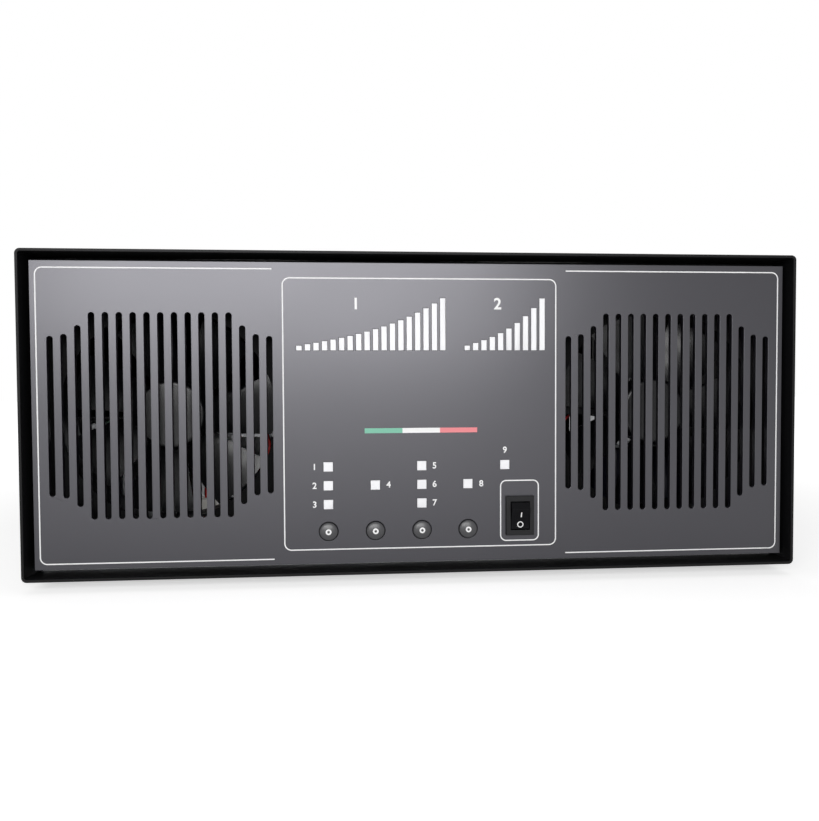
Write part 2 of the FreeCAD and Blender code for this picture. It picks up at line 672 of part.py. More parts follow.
AIMS = {
    "x": FreeCAD.Rotation(FreeCAD.Vector(0, 1, 0), 90),
    "y": FreeCAD.Rotation(FreeCAD.Vector(1, 0, 0), -90),
    "z": FreeCAD.Rotation(),
}


def cylinder(name, start, radius, length, axis="z", flip=False):
    """A cylinder from its start along an axis, or against it with flip."""
    feature = doc.addObject("Part::Cylinder", name)
    for prop, part in (("Radius", radius), ("Height", length)):
        setattr(feature, prop, number(part))
        bind(feature, prop, part)
    aim = AIMS[axis]
    if flip:
        aim = aim.multiply(FreeCAD.Rotation(FreeCAD.Vector(1, 0, 0), 180))
    feature.Placement.Rotation = aim
    return place(feature, start)


def fuse(name, parts):
    feature = doc.addObject("Part::MultiFuse", name)
    feature.Shapes = parts
    return feature


def cut(name, base, tool):
    feature = doc.addObject("Part::Cut", name)
    feature.Base = base
    feature.Tool = tool
    return feature


def group(label, parts):
    """Several separate solids that share one node."""
    feature = doc.addObject("Part::Compound", label)
    feature.Links = parts
    return keep(feature, label)


def screw(name, seat, axis, flip, radius, head_radius, head_height, length):
    """A screw whose head stands on its seat; the shank goes on along the axis."""
    shank = cylinder(name + "_shank", seat, radius, length, axis, flip)
    head = cylinder(name + "_head", seat, head_radius, head_height, axis, not flip)
    return fuse(name, [shank, head])


# ---------------------------------------------------------------- sleeve and chassis


def case_sleeve():
    """The wrapped sleeve: a rounded tube with vent slots and screw holes."""
    body = new_body("case_sleeve", (0, Y_FRONT, Z_MID))
    outside = new_sketch(body, "XZ_Plane")
    draw_rectangle(outside, 0, 0, D.case_width, D.case_height)
    block = pad(body, outside, D.case_depth)
    corners = edges_where(block.Shape, lambda edge: runs_along(edge, "y"))
    fillet(body, block, corners, D.bend_radius)
    inner_width = D.case_width - 2 * D.sleeve_wall
    inner_height = D.case_height - 2 * D.sleeve_wall
    inside = new_sketch(body, "XZ_Plane")
    draw_rectangle(inside, 0, 0, inner_width, inner_height)
    hollow = pocket(body, inside)

    def inner_corner(edge):
        middle = edge.BoundBox.Center
        return (runs_along(edge, "y") and abs(abs(middle.x) - number(inner_width) / 2) < 1e-3
                and abs(abs(middle.z) - number(inner_height) / 2) < 1e-3)

    fillet(body, hollow, edges_where(hollow.Shape, inner_corner), D.bend_radius - D.sleeve_wall)
    left_side = -1 * D.case_width / 2
    vent = new_sketch(body, "YZ_Plane", left_side)
    draw_slot(vent, D.case_depth - D.side_vent_inset, 0, D.side_vent_width, D.side_vent_height)
    first_vent = pocket(body, vent)
    repeat_along(body, [first_vent], "Y_Axis", D.side_vent_pitch, D.side_vent_count, reverse=True)
    holes = new_sketch(body, "YZ_Plane", left_side)
    for y in RAIL_SCREW_YS:
        draw_circle(holes, y - Y_FRONT, Z_CHASSIS_TOP - RAIL_SCREW_Z - Z_MID, D.m3_hole)
        draw_circle(holes, y - Y_FRONT, Z_DECK + RAIL_SCREW_Z - Z_MID, D.m3_hole)
    pocket(body, holes)
    foot_holes = new_sketch(body, "XY_Plane", -1 * D.case_height / 2 + D.sleeve_wall * 2)
    for x in (-1 * FOOT_X, FOOT_X):
        for y in FOOT_YS:
            draw_circle(foot_holes, x, y - Y_FRONT, D.m3_hole)
    pocket(body, foot_holes, positive=False)
    keep(body, "case_sleeve")


def chassis_pan():
    """The flat bottom pan, with a hole over each foot's screw."""
    body = new_body("chassis_pan", (0, Y_BULKHEAD, Z_FLOOR))
    plate = new_sketch(body, "XY_Plane")
    length = Y_REAR_FACE - Y_BULKHEAD
    draw_rectangle(plate, 0, length / 2, D.case_width - 2 * D.bend_radius, length)
    pad(body, plate, D.pan_thick)
    holes = new_sketch(body, "XY_Plane", D.pan_thick)
    for x in (-1 * FOOT_X, FOOT_X):
        for y in FOOT_YS:
            draw_circle(holes, x, y - Y_BULKHEAD, D.m3_hole)
    pocket(body, holes, positive=False)
    keep(body, "chassis_pan")


def upright_plate(name, y, thickness):
    """A plate that stands on the pan and fills the sleeve's inside."""
    body = new_body(name, (0, y, Z_MID))
    face = new_sketch(body, "XZ_Plane")
    low, high = Z_DECK - Z_MID, Z_CHASSIS_TOP - Z_MID
    draw_outline(face, [(-1 * X_CHASSIS, low), (X_CHASSIS, low), (X_CHASSIS, high),
                        (-1 * X_CHASSIS, high)])
    pad(body, face, thickness)
    return body


def front_bulkhead():
    """The bulkhead behind the front panel, with the two fan openings."""
    body = upright_plate("front_bulkhead", Y_BULKHEAD, D.bulkhead_thick)
    openings = new_sketch(body, "XZ_Plane")
    for side in (-1, 1):
        draw_circle(openings, side * FAN_X, -1 * D.grille_drop, DUCT_RADIUS)
        for across in (-1, 1):
            for up in (-1, 1):
                draw_circle(openings, side * FAN_X + across * FAN_HOLE_REACH,
                            up * FAN_HOLE_REACH - D.grille_drop, D.fan_hole)
    margin = 2 * D.board_notch
    draw_rectangle(openings, SWITCH_X, SWITCH_Z, D.switch_body_width + margin,
                   D.switch_body_height + margin)
    pocket(body, openings)
    keep(body, "front_bulkhead")


def chassis_rails():
    """Four angles along the chassis's corners, from the bulkhead to the rear panel."""
    rails = []
    for side in (-1, 1):
        for at_top in (False, True):
            corner_z = Z_CHASSIS_TOP if at_top else Z_DECK
            body = new_body("rail", (side * X_CHASSIS, Y_FAN, corner_z))
            profile = new_sketch(body, "XZ_Plane")
            inward, away = -1 * side, (-1 if at_top else 1)
            draw_outline(profile, [
                (0, 0), (inward * D.rail_leg, 0), (inward * D.rail_leg, away * D.rail_wall),
                (inward * D.rail_wall, away * D.rail_wall),
                (inward * D.rail_wall, away * D.rail_leg), (0, away * D.rail_leg)])
            pad(body, profile, Y_REAR_INSIDE - Y_FAN)
            holes = new_sketch(body, "YZ_Plane", inward * D.rail_wall * 2)
            for y in RAIL_SCREW_YS:
                draw_circle(holes, y - Y_FAN, away * RAIL_SCREW_Z, D.m3_hole)
            pocket(body, holes, positive=side > 0)
            rails.append(body)
    group("chassis_rails", rails)


def case_screws():
    """Screws through the sleeve's sides into the rails."""
    screws = []
    for side in (-1, 1):
        for y in RAIL_SCREW_YS:
            for z in (Z_DECK + RAIL_SCREW_Z, Z_CHASSIS_TOP - RAIL_SCREW_Z):
                screws.append(screw("case_screw", (side * D.case_width / 2, y, z), "x", side > 0,
                                    D.m3_radius, D.m3_head, D.m3_head_height, D.m3_length))
    group("case_screws", screws)


def rubber_feet():
    """Four tapered rubber feet, each recessed for its screw."""
    feet, screws = [], []
    for x in (-1 * FOOT_X, FOOT_X):
        for y in FOOT_YS:
            cone = doc.addObject("Part::Cone", "foot_cone")
            cone.Radius1 = number(D.foot_radius - D.foot_taper)
            bind(cone, "Radius1", D.foot_radius - D.foot_taper)
            cone.Radius2 = number(D.foot_radius)
            bind(cone, "Radius2", D.foot_radius)
            cone.Height = number(D.foot_height)
            bind(cone, "Height", D.foot_height)
            place(cone, (x, y, 0))
            recess = cylinder("foot_recess", (x, y, 0), D.foot_bore,
                              D.foot_height - D.foot_seat)
            bore = cylinder("foot_hole", (x, y, 0), D.m3_hole, D.foot_height)
            feet.append(cut("foot", cone, fuse("foot_bores", [recess, bore])))
            seat = (x, y, D.foot_height - D.foot_seat)
            screws.append(screw("foot_screw", seat, "z", False, D.m3_radius, D.m3_head,
                                D.m3_head_height, D.foot_seat + D.sleeve_wall + D.m3_length / 2))
    group("rubber_feet", feet)
    group("foot_screws", screws)


# ---------------------------------------------------------------- front panel


def meter_bars(first, pitch, count, rise, swell):
    """Middle, width and height of each bar of a meter."""
    bars = []
    for index in range(int(number(count))):
        height = D.bar_low + rise * index + swell * index ** 3
        bars.append((first + pitch * index, height))
    return bars


SWR_FIRST = CENTRE_SIDE - D.meter_right - D.swr_pitch * (D.swr_count - 1)
POWER_FIRST = D.meter_left - CENTRE_SIDE
POWER_PITCH = (SWR_FIRST - D.meter_gap - POWER_FIRST) / (D.power_count - 1)
POWER_BARS = meter_bars(POWER_FIRST, POWER_PITCH, D.power_count, D.power_rise, D.power_swell)
SWR_BARS = meter_bars(SWR_FIRST, D.swr_pitch, D.swr_count, D.swr_rise, D.swr_swell)
COLUMN_FIRST = D.column_inset - CENTRE_SIDE
COLUMN_PITCH = (SWITCH_X - D.column_gap - COLUMN_FIRST) / (D.column_count - 1)
ALARM_X = SWITCH_X - D.alarm_offset


def column(index):
    return COLUMN_FIRST + COLUMN_PITCH * index


STATUS_WINDOWS = (
    [(column(0), STATUS_Z + D.status_pitch * row) for row in (1, 0, -1)]
    + [(column(1), STATUS_Z)]
    + [(column(2), STATUS_Z + D.status_pitch * row) for row in (1, 0, -1)]
    + [(column(3), STATUS_Z), (ALARM_X, STATUS_Z + D.status_pitch)])


def draw_bars(sketch, bars, gap=0):
    for x, height in bars:
        draw_rectangle(sketch, x, BAR_FOOT + height / 2, D.bar_width - gap * 2,
                       height - gap * 2)


def draw_status(sketch, gap=0):
    for x, z in STATUS_WINDOWS:
        draw_rectangle(sketch, x, z, D.status_size - gap * 2, D.status_size - gap * 2)


def front_panel():
    """The front panel: two slotted grilles, meter and status windows, control holes."""
    body = new_body("front_panel", (0, Y_PANEL, Z_MID))
    face = new_sketch(body, "XZ_Plane")
    draw_rectangle(face, 0, 0, PANEL_WIDTH, PANEL_HEIGHT)
    pad(body, face, D.panel_thick)
    edge_steps = (D.slot_full_count - 1) / 2
    full = FAN_SIZE - 2 * D.slot_end_gap
    lengths = (full - D.slot_third_less, full - D.slot_second_less, full - D.slot_first_less)
    pitch = (FAN_SIZE / 2 - D.slot_margin) / (edge_steps + len(lengths))
    for side in (-1, 1):
        middle = side * FAN_X
        long_slot = new_sketch(body, "XZ_Plane")
        draw_slot(long_slot, middle - edge_steps * pitch, -1 * D.grille_drop, D.slot_width,
                  full)
        first = pocket(body, long_slot)
        repeat_along(body, [first], "X_Axis", pitch, D.slot_full_count)
        short_slots = new_sketch(body, "XZ_Plane")
        for step, length in enumerate(lengths, start=1):
            for way in (-1, 1):
                draw_slot(short_slots, middle + way * (edge_steps + step) * pitch,
                          -1 * D.grille_drop, D.slot_width, length)
        pocket(body, short_slots)
    for bars in (POWER_BARS, SWR_BARS):
        windows = new_sketch(body, "XZ_Plane")
        draw_bars(windows, bars)
        pocket(body, windows)
    windows = new_sketch(body, "XZ_Plane")
    draw_status(windows)
    pocket(body, windows)
    controls = new_sketch(body, "XZ_Plane")
    for index in range(len(BUTTON_NAMES)):
        draw_circle(controls, column(index), BUTTON_Z, D.button_radius + D.button_gap)
    draw_rectangle(controls, SWITCH_X, SWITCH_Z, D.switch_body_width + 2 * D.switch_play,
                   D.switch_body_height + 2 * D.switch_play)
    pocket(body, controls)
    keep(body, "front_panel")


def lens(name, draw_plate, draw_windows):
    """A clear moulding: a backing plate behind the panel with raised windows."""
    body = new_body(name, (0, Y_PANEL, Z_MID))
    plate = new_sketch(body, "XZ_Plane", D.panel_thick)
    draw_plate(plate)
    pad(body, plate, D.lens_plate)
    raised = new_sketch(body, "XZ_Plane", D.panel_thick)
    draw_windows(raised)
    pad(body, raised, D.panel_thick, positive=False)
    keep(body, name)


def bar_plate(bars):
    """Draws the backing plate of a bar meter's lens."""
    def draw(sketch):
        first, last = bars[0][0], bars[-1][0]
        tallest = bars[-1][1]
        draw_rectangle(sketch, (first + last) / 2, BAR_FOOT + tallest / 2,
                       last - first + D.bar_width + 2 * D.lens_border * 0.75,
                       tallest + 2 * D.lens_border)
    return draw


def status_plate(sketch):
    """An L-shaped plate: it stops short of the rocker switch."""
    reach = D.status_size / 2 + D.lens_border
    left = column(0) - reach
    right = ALARM_X + reach
    step = column(3) + reach
    top = STATUS_Z + D.status_pitch + reach
    bottom = STATUS_Z - D.status_pitch - reach
    ledge = STATUS_Z + D.status_pitch - reach
    draw_outline(sketch, [(left, bottom), (step, bottom), (step, ledge), (right, ledge),
                          (right, top), (left, top)])


def lenses():
    lens("power_meter_lens", bar_plate(POWER_BARS),
         lambda sketch: draw_bars(sketch, POWER_BARS, D.lens_gap))
    lens("swr_meter_lens", bar_plate(SWR_BARS),
         lambda sketch: draw_bars(sketch, SWR_BARS, D.lens_gap))
    lens("status_lens", status_plate, lambda sketch: draw_status(sketch, D.lens_gap))


BUTTON_NAMES = ("operate_button", "mode_button", "level_button", "preamp_button")


def buttons():
    """Domed caps with a flange behind the panel and a stem to the key switch."""
    flange_front = D.panel_thick + D.button_gap
    flange_back = flange_front + D.flange_thick
    stem_end = D.panel_thick + D.board_gap - KEY_HEIGHT - D.button_travel - D.key_gap
    flange = D.button_radius + D.button_flange
    for index, name in enumerate(BUTTON_NAMES):
        body = new_body(name, (column(index), Y_PANEL, Z_MID + BUTTON_Z))
        profile = new_sketch(body, "XY_Plane")
        tip = -1 * D.button_edge - D.button_dome
        draw_outline(profile, [
            (0, stem_end), (0, tip, D.button_dome / 4), (D.button_radius, -1 * D.button_edge),
            (D.button_radius, flange_front), (flange, flange_front), (flange, flange_back),
            (D.stem_radius, flange_back), (D.stem_radius, stem_end)])
        turn(body, profile)
        keep(body, name)


KEY_HEIGHT = D.board_gap - D.button_gap - D.flange_thick - D.button_travel - 2 * D.key_gap


def rocker_housing():
    """The rocker switch's housing: a bezel, a snap-in body and a well for the rocker."""
    body = new_body("rocker_housing", (SWITCH_X, Y_PANEL, Z_MID + SWITCH_Z))
    bezel = new_sketch(body, "XZ_Plane", -1 * D.bezel_thick)
    draw_rectangle(bezel, 0, 0, D.bezel_width, D.bezel_height)
    rim = pad(body, bezel, D.bezel_thick)
    edges = edges_where(rim.Shape, lambda edge: edge.BoundBox.YMax < -number(D.bezel_thick) + 1e-3)
    fillet(body, rim, edges, D.rim_thick / 2)
    back = new_sketch(body, "XZ_Plane")
    draw_rectangle(back, 0, 0, D.switch_body_width, D.switch_body_height)
    pad(body, back, D.switch_body_depth)
    mouth = new_sketch(body, "XZ_Plane", -1 * D.bezel_thick)
    draw_rectangle(mouth, 0, 0, D.mouth_width, D.mouth_height)
    pocket(body, mouth, D.well_depth)
    well = new_sketch(body, "XZ_Plane", D.rim_thick - D.bezel_thick)
    draw_rectangle(well, 0, 0, D.mouth_width, D.well_height)
    pocket(body, well, D.well_depth - D.rim_thick)
    bores = new_sketch(body, "YZ_Plane", -1 * D.mouth_width / 2 - D.pivot_reach)
    draw_circle(bores, D.pivot_depth - D.bezel_thick, 0, D.pivot_radius + D.pivot_play)
    pocket(body, bores, D.mouth_width + 2 * D.pivot_reach)
    keep(body, "rocker_housing")


def power_rocker():
    """The rocker: two ridges with a saddle between them, on two pivot pins."""
    body = new_body("power_rocker", (SWITCH_X, Y_PANEL + D.pivot_depth - D.bezel_thick,
                                     Z_MID + SWITCH_Z))
    profile = new_sketch(body, "YZ_Plane", -1 * D.rocker_width / 2)
    draw_outline(profile, [
        (D.keel_y, D.keel_z), (-1 * D.shoulder_y, D.shoulder_z),
        (-1 * D.ridge_y, D.ridge_z, -1 * D.saddle), (-1 * D.ridge_y, -1 * D.ridge_z),
        (-1 * D.shoulder_y, -1 * D.shoulder_z), (D.keel_y, -1 * D.keel_z)])
    pad(body, profile, D.rocker_width)
    half_pins = (D.mouth_width / 2 + D.pivot_reach - D.pivot_play)
    pins = new_sketch(body, "YZ_Plane", -1 * half_pins)
    draw_circle(pins, 0, 0, D.pivot_radius)
    pad(body, pins, 2 * half_pins)
    body.Placement.Rotation = FreeCAD.Rotation(FreeCAD.Vector(1, 0, 0), number(D.rocker_tilt))
    bind(body, "Placement.Rotation.Angle", D.rocker_tilt)
    keep(body, "power_rocker")


def switch_terminals():
    """Four flat tabs at the back of the rocker switch."""
    tabs = []
    back = Y_PANEL + D.switch_body_depth
    for across in (-1, 1):
        for up in (-1, 1):
            x = SWITCH_X + across * D.switch_body_width / 4
            z = Z_MID + SWITCH_Z + up * D.switch_body_height / 4
            corner = (x - D.tab_thick / 2, back, z - D.tab_width / 2)
            tabs.append(box("tab", corner, (D.tab_thick, D.tab_length, D.tab_width)))
    group("switch_terminals", tabs)


BOARD_SIDE = CENTRE_SIDE - D.board_inset
BOARD_TOP = PANEL_TOP - D.board_top_inset
BOARD_BOTTOM = D.board_bottom_inset - PANEL_TOP


def control_board():
    """The board behind the lenses, cut away round the rocker switch."""
    body = new_body("control_board", (0, Y_PANEL_BACK + D.board_gap, Z_MID))
    plate = new_sketch(body, "XZ_Plane")
    notch_x = SWITCH_X - D.switch_body_width / 2 - D.board_notch
    notch_z = SWITCH_Z + D.switch_body_height / 2 + D.board_notch
    draw_outline(plate, [
        (-1 * BOARD_SIDE, BOARD_BOTTOM), (notch_x, BOARD_BOTTOM), (notch_x, notch_z),
        (BOARD_SIDE, notch_z), (BOARD_SIDE, BOARD_TOP), (-1 * BOARD_SIDE, BOARD_TOP)])
    pad(body, plate, D.board_thick)
    keep(body, "control_board")


def board_posts():
    """Posts between the front panel and the control board."""
    inset = BOARD_SIDE - D.board_post_inset
    low = BOARD_BOTTOM + D.board_post_inset
    high = BOARD_TOP - D.board_post_inset
    notch_x = SWITCH_X - D.switch_body_width / 2 - D.board_notch - D.board_post_inset
    places = [(-1 * inset, low), (-1 * inset, high), (inset, high), (notch_x, low)]
    posts = [cylinder("board_post", (x, Y_PANEL_BACK, Z_MID + z), D.board_post, D.board_gap, "y")
             for x, z in places]
    group("board_posts", posts)


def key_switches():
    """The key switch behind each button."""
    keys = []
    for index in range(len(BUTTON_NAMES)):
        corner = (column(index) - D.key_size / 2, Y_PANEL_BACK + D.board_gap - KEY_HEIGHT,
                  Z_MID + BUTTON_Z - D.key_size / 2)
        keys.append(box("key", corner, (D.key_size, KEY_HEIGHT, D.key_size)))
    group("key_switches", keys)


def board_leds():
    """A light-emitting diode behind each bar and each status window."""
    places = [(x, BAR_FOOT + height / 2) for x, height in POWER_BARS + SWR_BARS]
    places += STATUS_WINDOWS
    front = Y_PANEL_BACK + D.board_gap - D.led_height
    leds = [box("led", (x - D.led_size / 2, front, Z_MID + z - D.led_size / 2),
                (D.led_size, D.led_height, D.led_size)) for x, z in places]
    group("board_leds", leds)


def panel_spacers():
    """Round spacers between the bulkhead and the front panel."""
    outer = PANEL_WIDTH / 2 - D.spacer_inset
    rise = PANEL_HEIGHT / 2 - D.spacer_inset
    spacers = []
    inner = CENTRE_SIDE - D.spacer_inset_inner
    for x in (-1 * outer, -1 * inner, inner, outer):
        for z in (-1 * rise, rise):
            spacers.append(cylinder("spacer", (x, Y_PANEL_BACK, Z_MID + z), D.spacer_radius,
                                    D.panel_gap, "y"))
    group("panel_spacers", spacers)


# ---------------------------------------------------------------- fans


def fan_frame(side, name):
    """An axial fan's frame: flanges, duct, struts, motor base and bearing tube."""
    body = new_body(name, (side * FAN_X, Y_FAN, Z_FAN))
    square = new_sketch(body, "XZ_Plane")
    draw_rectangle(square, 0, 0, FAN_SIZE, FAN_SIZE)
    block = pad(body, square, D.fan_depth)
    corners = edges_where(block.Shape, lambda edge: runs_along(edge, "y"))
    fillet(body, block, corners, D.fan_corner)
    duct = new_sketch(body, "XZ_Plane")
    draw_circle(duct, 0, 0, DUCT_RADIUS)
    pocket(body, duct)
    waist = new_sketch(body, "XY_Plane")
    outer_wall = DUCT_RADIUS + D.duct_wall
    draw_outline(waist, [
        (outer_wall, D.fan_flange), (FAN_SIZE, D.fan_flange),
        (FAN_SIZE, D.fan_depth - D.fan_flange), (outer_wall, D.fan_depth - D.fan_flange)])
    turn(body, waist, "PartDesign::Groove")
    base_front = D.fan_depth - D.motor_base
    strut = new_sketch(body, "XZ_Plane", base_front)
    draw_rectangle(strut, 0, 0, 2 * DUCT_RADIUS + D.duct_wall, D.strut_width)
    bar = pad(body, strut, D.motor_base)
    repeat_round(body, [bar], "Y_Axis", 4)
    base = new_sketch(body, "XZ_Plane", base_front)
    draw_circle(base, 0, 0, D.motor_radius)
    pad(body, base, D.motor_base)
    tube = new_sketch(body, "XZ_Plane", base_front)
    draw_circle(tube, 0, 0, D.bearing_radius)
    pad(body, tube, base_front - D.bearing_front, positive=False)
    bore = new_sketch(body, "XZ_Plane", D.bearing_front)
    draw_circle(bore, 0, 0, D.shaft_radius + D.shaft_play)
    pocket(body, bore, D.fan_depth - D.bearing_front - D.motor_base / 3)
    holes = new_sketch(body, "XZ_Plane")
    for across in (-1, 1):
        for up in (-1, 1):
            draw_circle(holes, across * FAN_HOLE_REACH, up * FAN_HOLE_REACH, D.fan_hole)
    pocket(body, holes)
    keep(body, name)


def blade_section(body, radius, chord, lead):
    """One section of a blade, on a plane square to the radius."""
    sketch = new_sketch(body, "YZ_Plane", radius)
    low, high = lead - chord / 2, lead + chord / 2
    front, back = D.blade_front, D.blade_front + D.blade_span
    draw_outline(sketch, [
        (front, low), (front + D.blade_thick, low, D.blade_camber),
        (back + D.blade_thick / 4, high), (back - D.blade_thick, high, -1 * D.blade_camber)])
    return sketch


def fan_rotor(side, name):
    """A fan rotor: a cup-shaped hub on its shaft, with twisted, swept blades."""
    body = new_body(name, (side * FAN_X, Y_FAN, Z_FAN))
    inside = D.hub_radius - D.hub_wall
    ceiling = D.hub_front + D.hub_wall
    shaft_end = D.fan_depth - D.motor_base / 2
    cup = new_sketch(body, "XY_Plane")
    draw_outline(cup, [
        (0, D.hub_front), (D.hub_radius - D.hub_wall, D.hub_front, D.hub_wall * 0.3),
        (D.hub_radius, D.hub_front + D.hub_wall), (D.hub_radius, D.hub_back),
        (inside, D.hub_back), (inside, ceiling), (D.shaft_radius, ceiling),
        (D.shaft_radius, shaft_end), (0, shaft_end)])
    turn(body, cup)
    root_plane = D.hub_radius - D.hub_wall + 0.1
    tip_plane = ROTOR_TIP + D.duct_wall
    middle_plane = (root_plane + tip_plane) / 2
    middle_chord = (D.root_chord + D.tip_chord) / 2
    sections = [blade_section(body, root_plane, D.root_chord, 0),
                blade_section(body, middle_plane, middle_chord, D.tip_sweep / 3),
                blade_section(body, tip_plane, D.tip_chord, D.tip_sweep)]
    blade = body.newObject("PartDesign::AdditiveLoft", body.Name + "_blade")
    blade.Profile = sections[0]
    blade.Sections = sections[1:]
    doc.recompute()
    repeat_round(body, [blade], "Y_Axis", D.blade_count)
    trim = new_sketch(body, "XY_Plane")
    draw_outline(trim, [
        (ROTOR_TIP, 0), (ROTOR_TIP + D.tip_chord, 0),
        (ROTOR_TIP + D.tip_chord, D.fan_depth), (ROTOR_TIP, D.fan_depth)])
    turn(body, trim, "PartDesign::Groove")
    keep(body, name)


def fan_stators():
    """The windings inside each hub, on the bearing tube."""
    stators = []
    for side in (-1, 1):
        front = D.bearing_front + D.hub_wall
        depth = D.hub_back - D.motor_base - front
        start = (side * FAN_X, Y_FAN + front, Z_FAN)
        ring = cylinder("stator_disc", start, D.stator_radius, depth, "y")
        core = cylinder("stator_hole", start, D.bearing_radius, depth, "y")
        stators.append(cut("stator", ring, core))
    group("fan_stators", stators)


def fan_screws():
    """Screws through the fans' corners into the bulkhead."""
    screws = []
    for side in (-1, 1):
        for across in (-1, 1):
            for up in (-1, 1):
                seat = (side * FAN_X + across * FAN_HOLE_REACH, Y_FAN_BACK,
                        Z_FAN + up * FAN_HOLE_REACH)
                screws.append(screw("fan_screw", seat, "y", True, D.fan_screw, D.fan_screw_head,
                                    D.head_height, D.fan_depth + D.bulkhead_thick))
    group("fan_screws", screws)


# ---------------------------------------------------------------- power amplifier module

Y_SINK = Y_FAN_BACK + D.sink_gap
Z_SINK_TOP = Z_DECK + D.sink_height
Z_AMP_BOARD = Z_SINK_TOP + D.board_thick


def heatsink():
    """An extruded heatsink that stands on the pan on its fins."""
    body = new_body("pa_heatsink", (-1 * FAN_X, Y_SINK, Z_DECK))
    half = MODULE_WIDTH / 2
    ceiling = D.sink_height - D.sink_base
    gaps = D.fin_count - 1
    pitch = (MODULE_WIDTH - D.fin_thick) / gaps
    outline = [(half, 0), (half, D.sink_height), (-1 * half, D.sink_height), (-1 * half, 0)]
    for index in range(int(number(gaps))):
        left = -1 * half + pitch * index + D.fin_thick
        right = -1 * half + pitch * (index + 1)
        outline += [(left, 0), (left, ceiling), (right, ceiling), (right, 0)]
    profile = new_sketch(body, "XZ_Plane")
    draw_outline(profile, outline)
    pad(body, profile, D.sink_length)
    keep(body, "pa_heatsink")


DEVICE_XS = (-1 * D.device_spacing / 2, D.device_spacing / 2)
CORE_START = D.sink_length - D.core_back_gap - D.core_length
DEVICE_MIDDLE = CORE_START - D.device_lead


def amplifier_board():
    """The amplifier board on the heatsink, cut out round the transistors."""
    body = new_body("pa_board", (-1 * FAN_X, Y_SINK, Z_SINK_TOP))
    plate = new_sketch(body, "XY_Plane")
    draw_rectangle(plate, 0, D.sink_length / 2, MODULE_WIDTH - 2 * D.amp_board_inset,
                   D.sink_length - 2 * D.amp_board_inset)
    pad(body, plate, D.board_thick)
    windows = new_sketch(body, "XY_Plane", D.board_thick)
    for x in DEVICE_XS:
        draw_rectangle(windows, x, DEVICE_MIDDLE, D.device_width + 2 * D.device_play,
                       D.device_length + 2 * D.device_play)
    pocket(body, windows, positive=False)
    keep(body, "pa_board")


def power_transistors():
    """Two ceramic-capped power transistors, bolted straight to the heatsink."""
    devices = []
    for offset in DEVICE_XS:
        x, y = offset - FAN_X, Y_SINK + DEVICE_MIDDLE
        flange = box("flange", (x - D.device_width / 2, y - D.device_length / 2, Z_SINK_TOP),
                     (D.device_width, D.device_length, D.device_flange))
        cap = box("cap", (x - D.device_width / 2, y - D.device_cap_length / 2,
                          Z_SINK_TOP + D.device_flange),
                  (D.device_width, D.device_cap_length, D.device_cap_height))
        devices.append(fuse("device", [flange, cap]))
    group("power_transistors", devices)


def ferrite_core(name, y, length, width, height, bore):
    """A two-hole ferrite core that lies on the amplifier board."""
    body = new_body(name, (-1 * FAN_X, Y_SINK + y, Z_AMP_BOARD))
    face = new_sketch(body, "XZ_Plane")
    draw_rectangle(face, 0, height / 2, width, height)
    pad(body, face, length)
    bores = new_sketch(body, "XZ_Plane")
    for side in (-1, 1):
        draw_circle(bores, side * width / 4, height / 2, bore)
    pocket(body, bores)
    keep(body, name)


def white_plugs():
    """Two white plug housings on the front of the heatsink, under its fans' leads."""
    plugs = []
    front = Y_SINK - D.plug_depth
    for x, width in ((-1 * FAN_X - D.plug_outer, D.plug_narrow),
                     (D.plug_inner - FAN_X, D.plug_wide)):
        corner = (x - width / 2, front, Z_MID - D.plug_drop)
        plugs.append(box("plug", corner, (width, D.plug_depth, D.plug_height)))
    group("white_plugs", plugs)


# ---------------------------------------------------------------- filter board

Y_FILTER = Y_REAR_INSIDE - D.filter_rear_gap - D.filter_length
Z_BOARDS = Z_DECK + D.stand_height
Z_ON_BOARDS = Z_BOARDS + D.board_thick


def flat_board(name, x, y, width, length):
    """A rectangular board on four posts."""
    plate = box(name, (x - width / 2, y, Z_BOARDS), (width, length, D.board_thick))
    keep(plate, name)
    posts = []
    for across in (-1, 1):
        for far in (D.stand_inset, length - D.stand_inset):
            spot = (x + across * (width / 2 - D.stand_inset), y + far, Z_DECK)
            posts.append(cylinder("post", spot, D.stand_radius, D.stand_height))
    return posts


def ring_core(name, at, plane, outer, inner, depth):
    """A ring with bevelled edges, standing on the XY plane's Y axis or lying flat."""
    body = new_body(name, at)
    profile = new_sketch(body, plane)
    edge = D.ring_edge
    draw_outline(profile, [
        (inner, edge), (inner + edge, 0), (outer - edge, 0), (outer, edge),
        (outer, depth - edge), (outer - edge, depth), (inner + edge, depth),
        (inner, depth - edge)])
    turn(body, profile)
    return body


def filter_coils():
    """Ring coils of the low-pass filters, standing on their edge."""
    coils = []
    for row in range(int(number(D.coil_rows))):
        for side in (-1, 1):
            y = Y_FILTER + D.coil_spacing * (row + 0.5) + D.coil_outer / 2
            at = (side * D.coil_side, y - D.coil_depth / 2, Z_ON_BOARDS + D.coil_outer)
            coils.append(ring_core("coil", at, "XY_Plane", D.coil_outer, D.coil_inner,
                                   D.coil_depth))
    group("filter_coils", coils)


def filter_relays():
    """Relays that switch the filters, in a row along each side of the board."""
    relays = []
    for row in range(int(number(D.coil_rows))):
        for side in (-1, 1):
            y = Y_FILTER + D.coil_spacing * (row + 0.5)
            corner = (side * D.relay_side - D.relay_width / 2, y - D.relay_length / 2, Z_ON_BOARDS)
            relays.append(box("relay", corner, (D.relay_width, D.relay_length, D.relay_height)))
    group("filter_relays", relays)


# ---------------------------------------------------------------- power supply

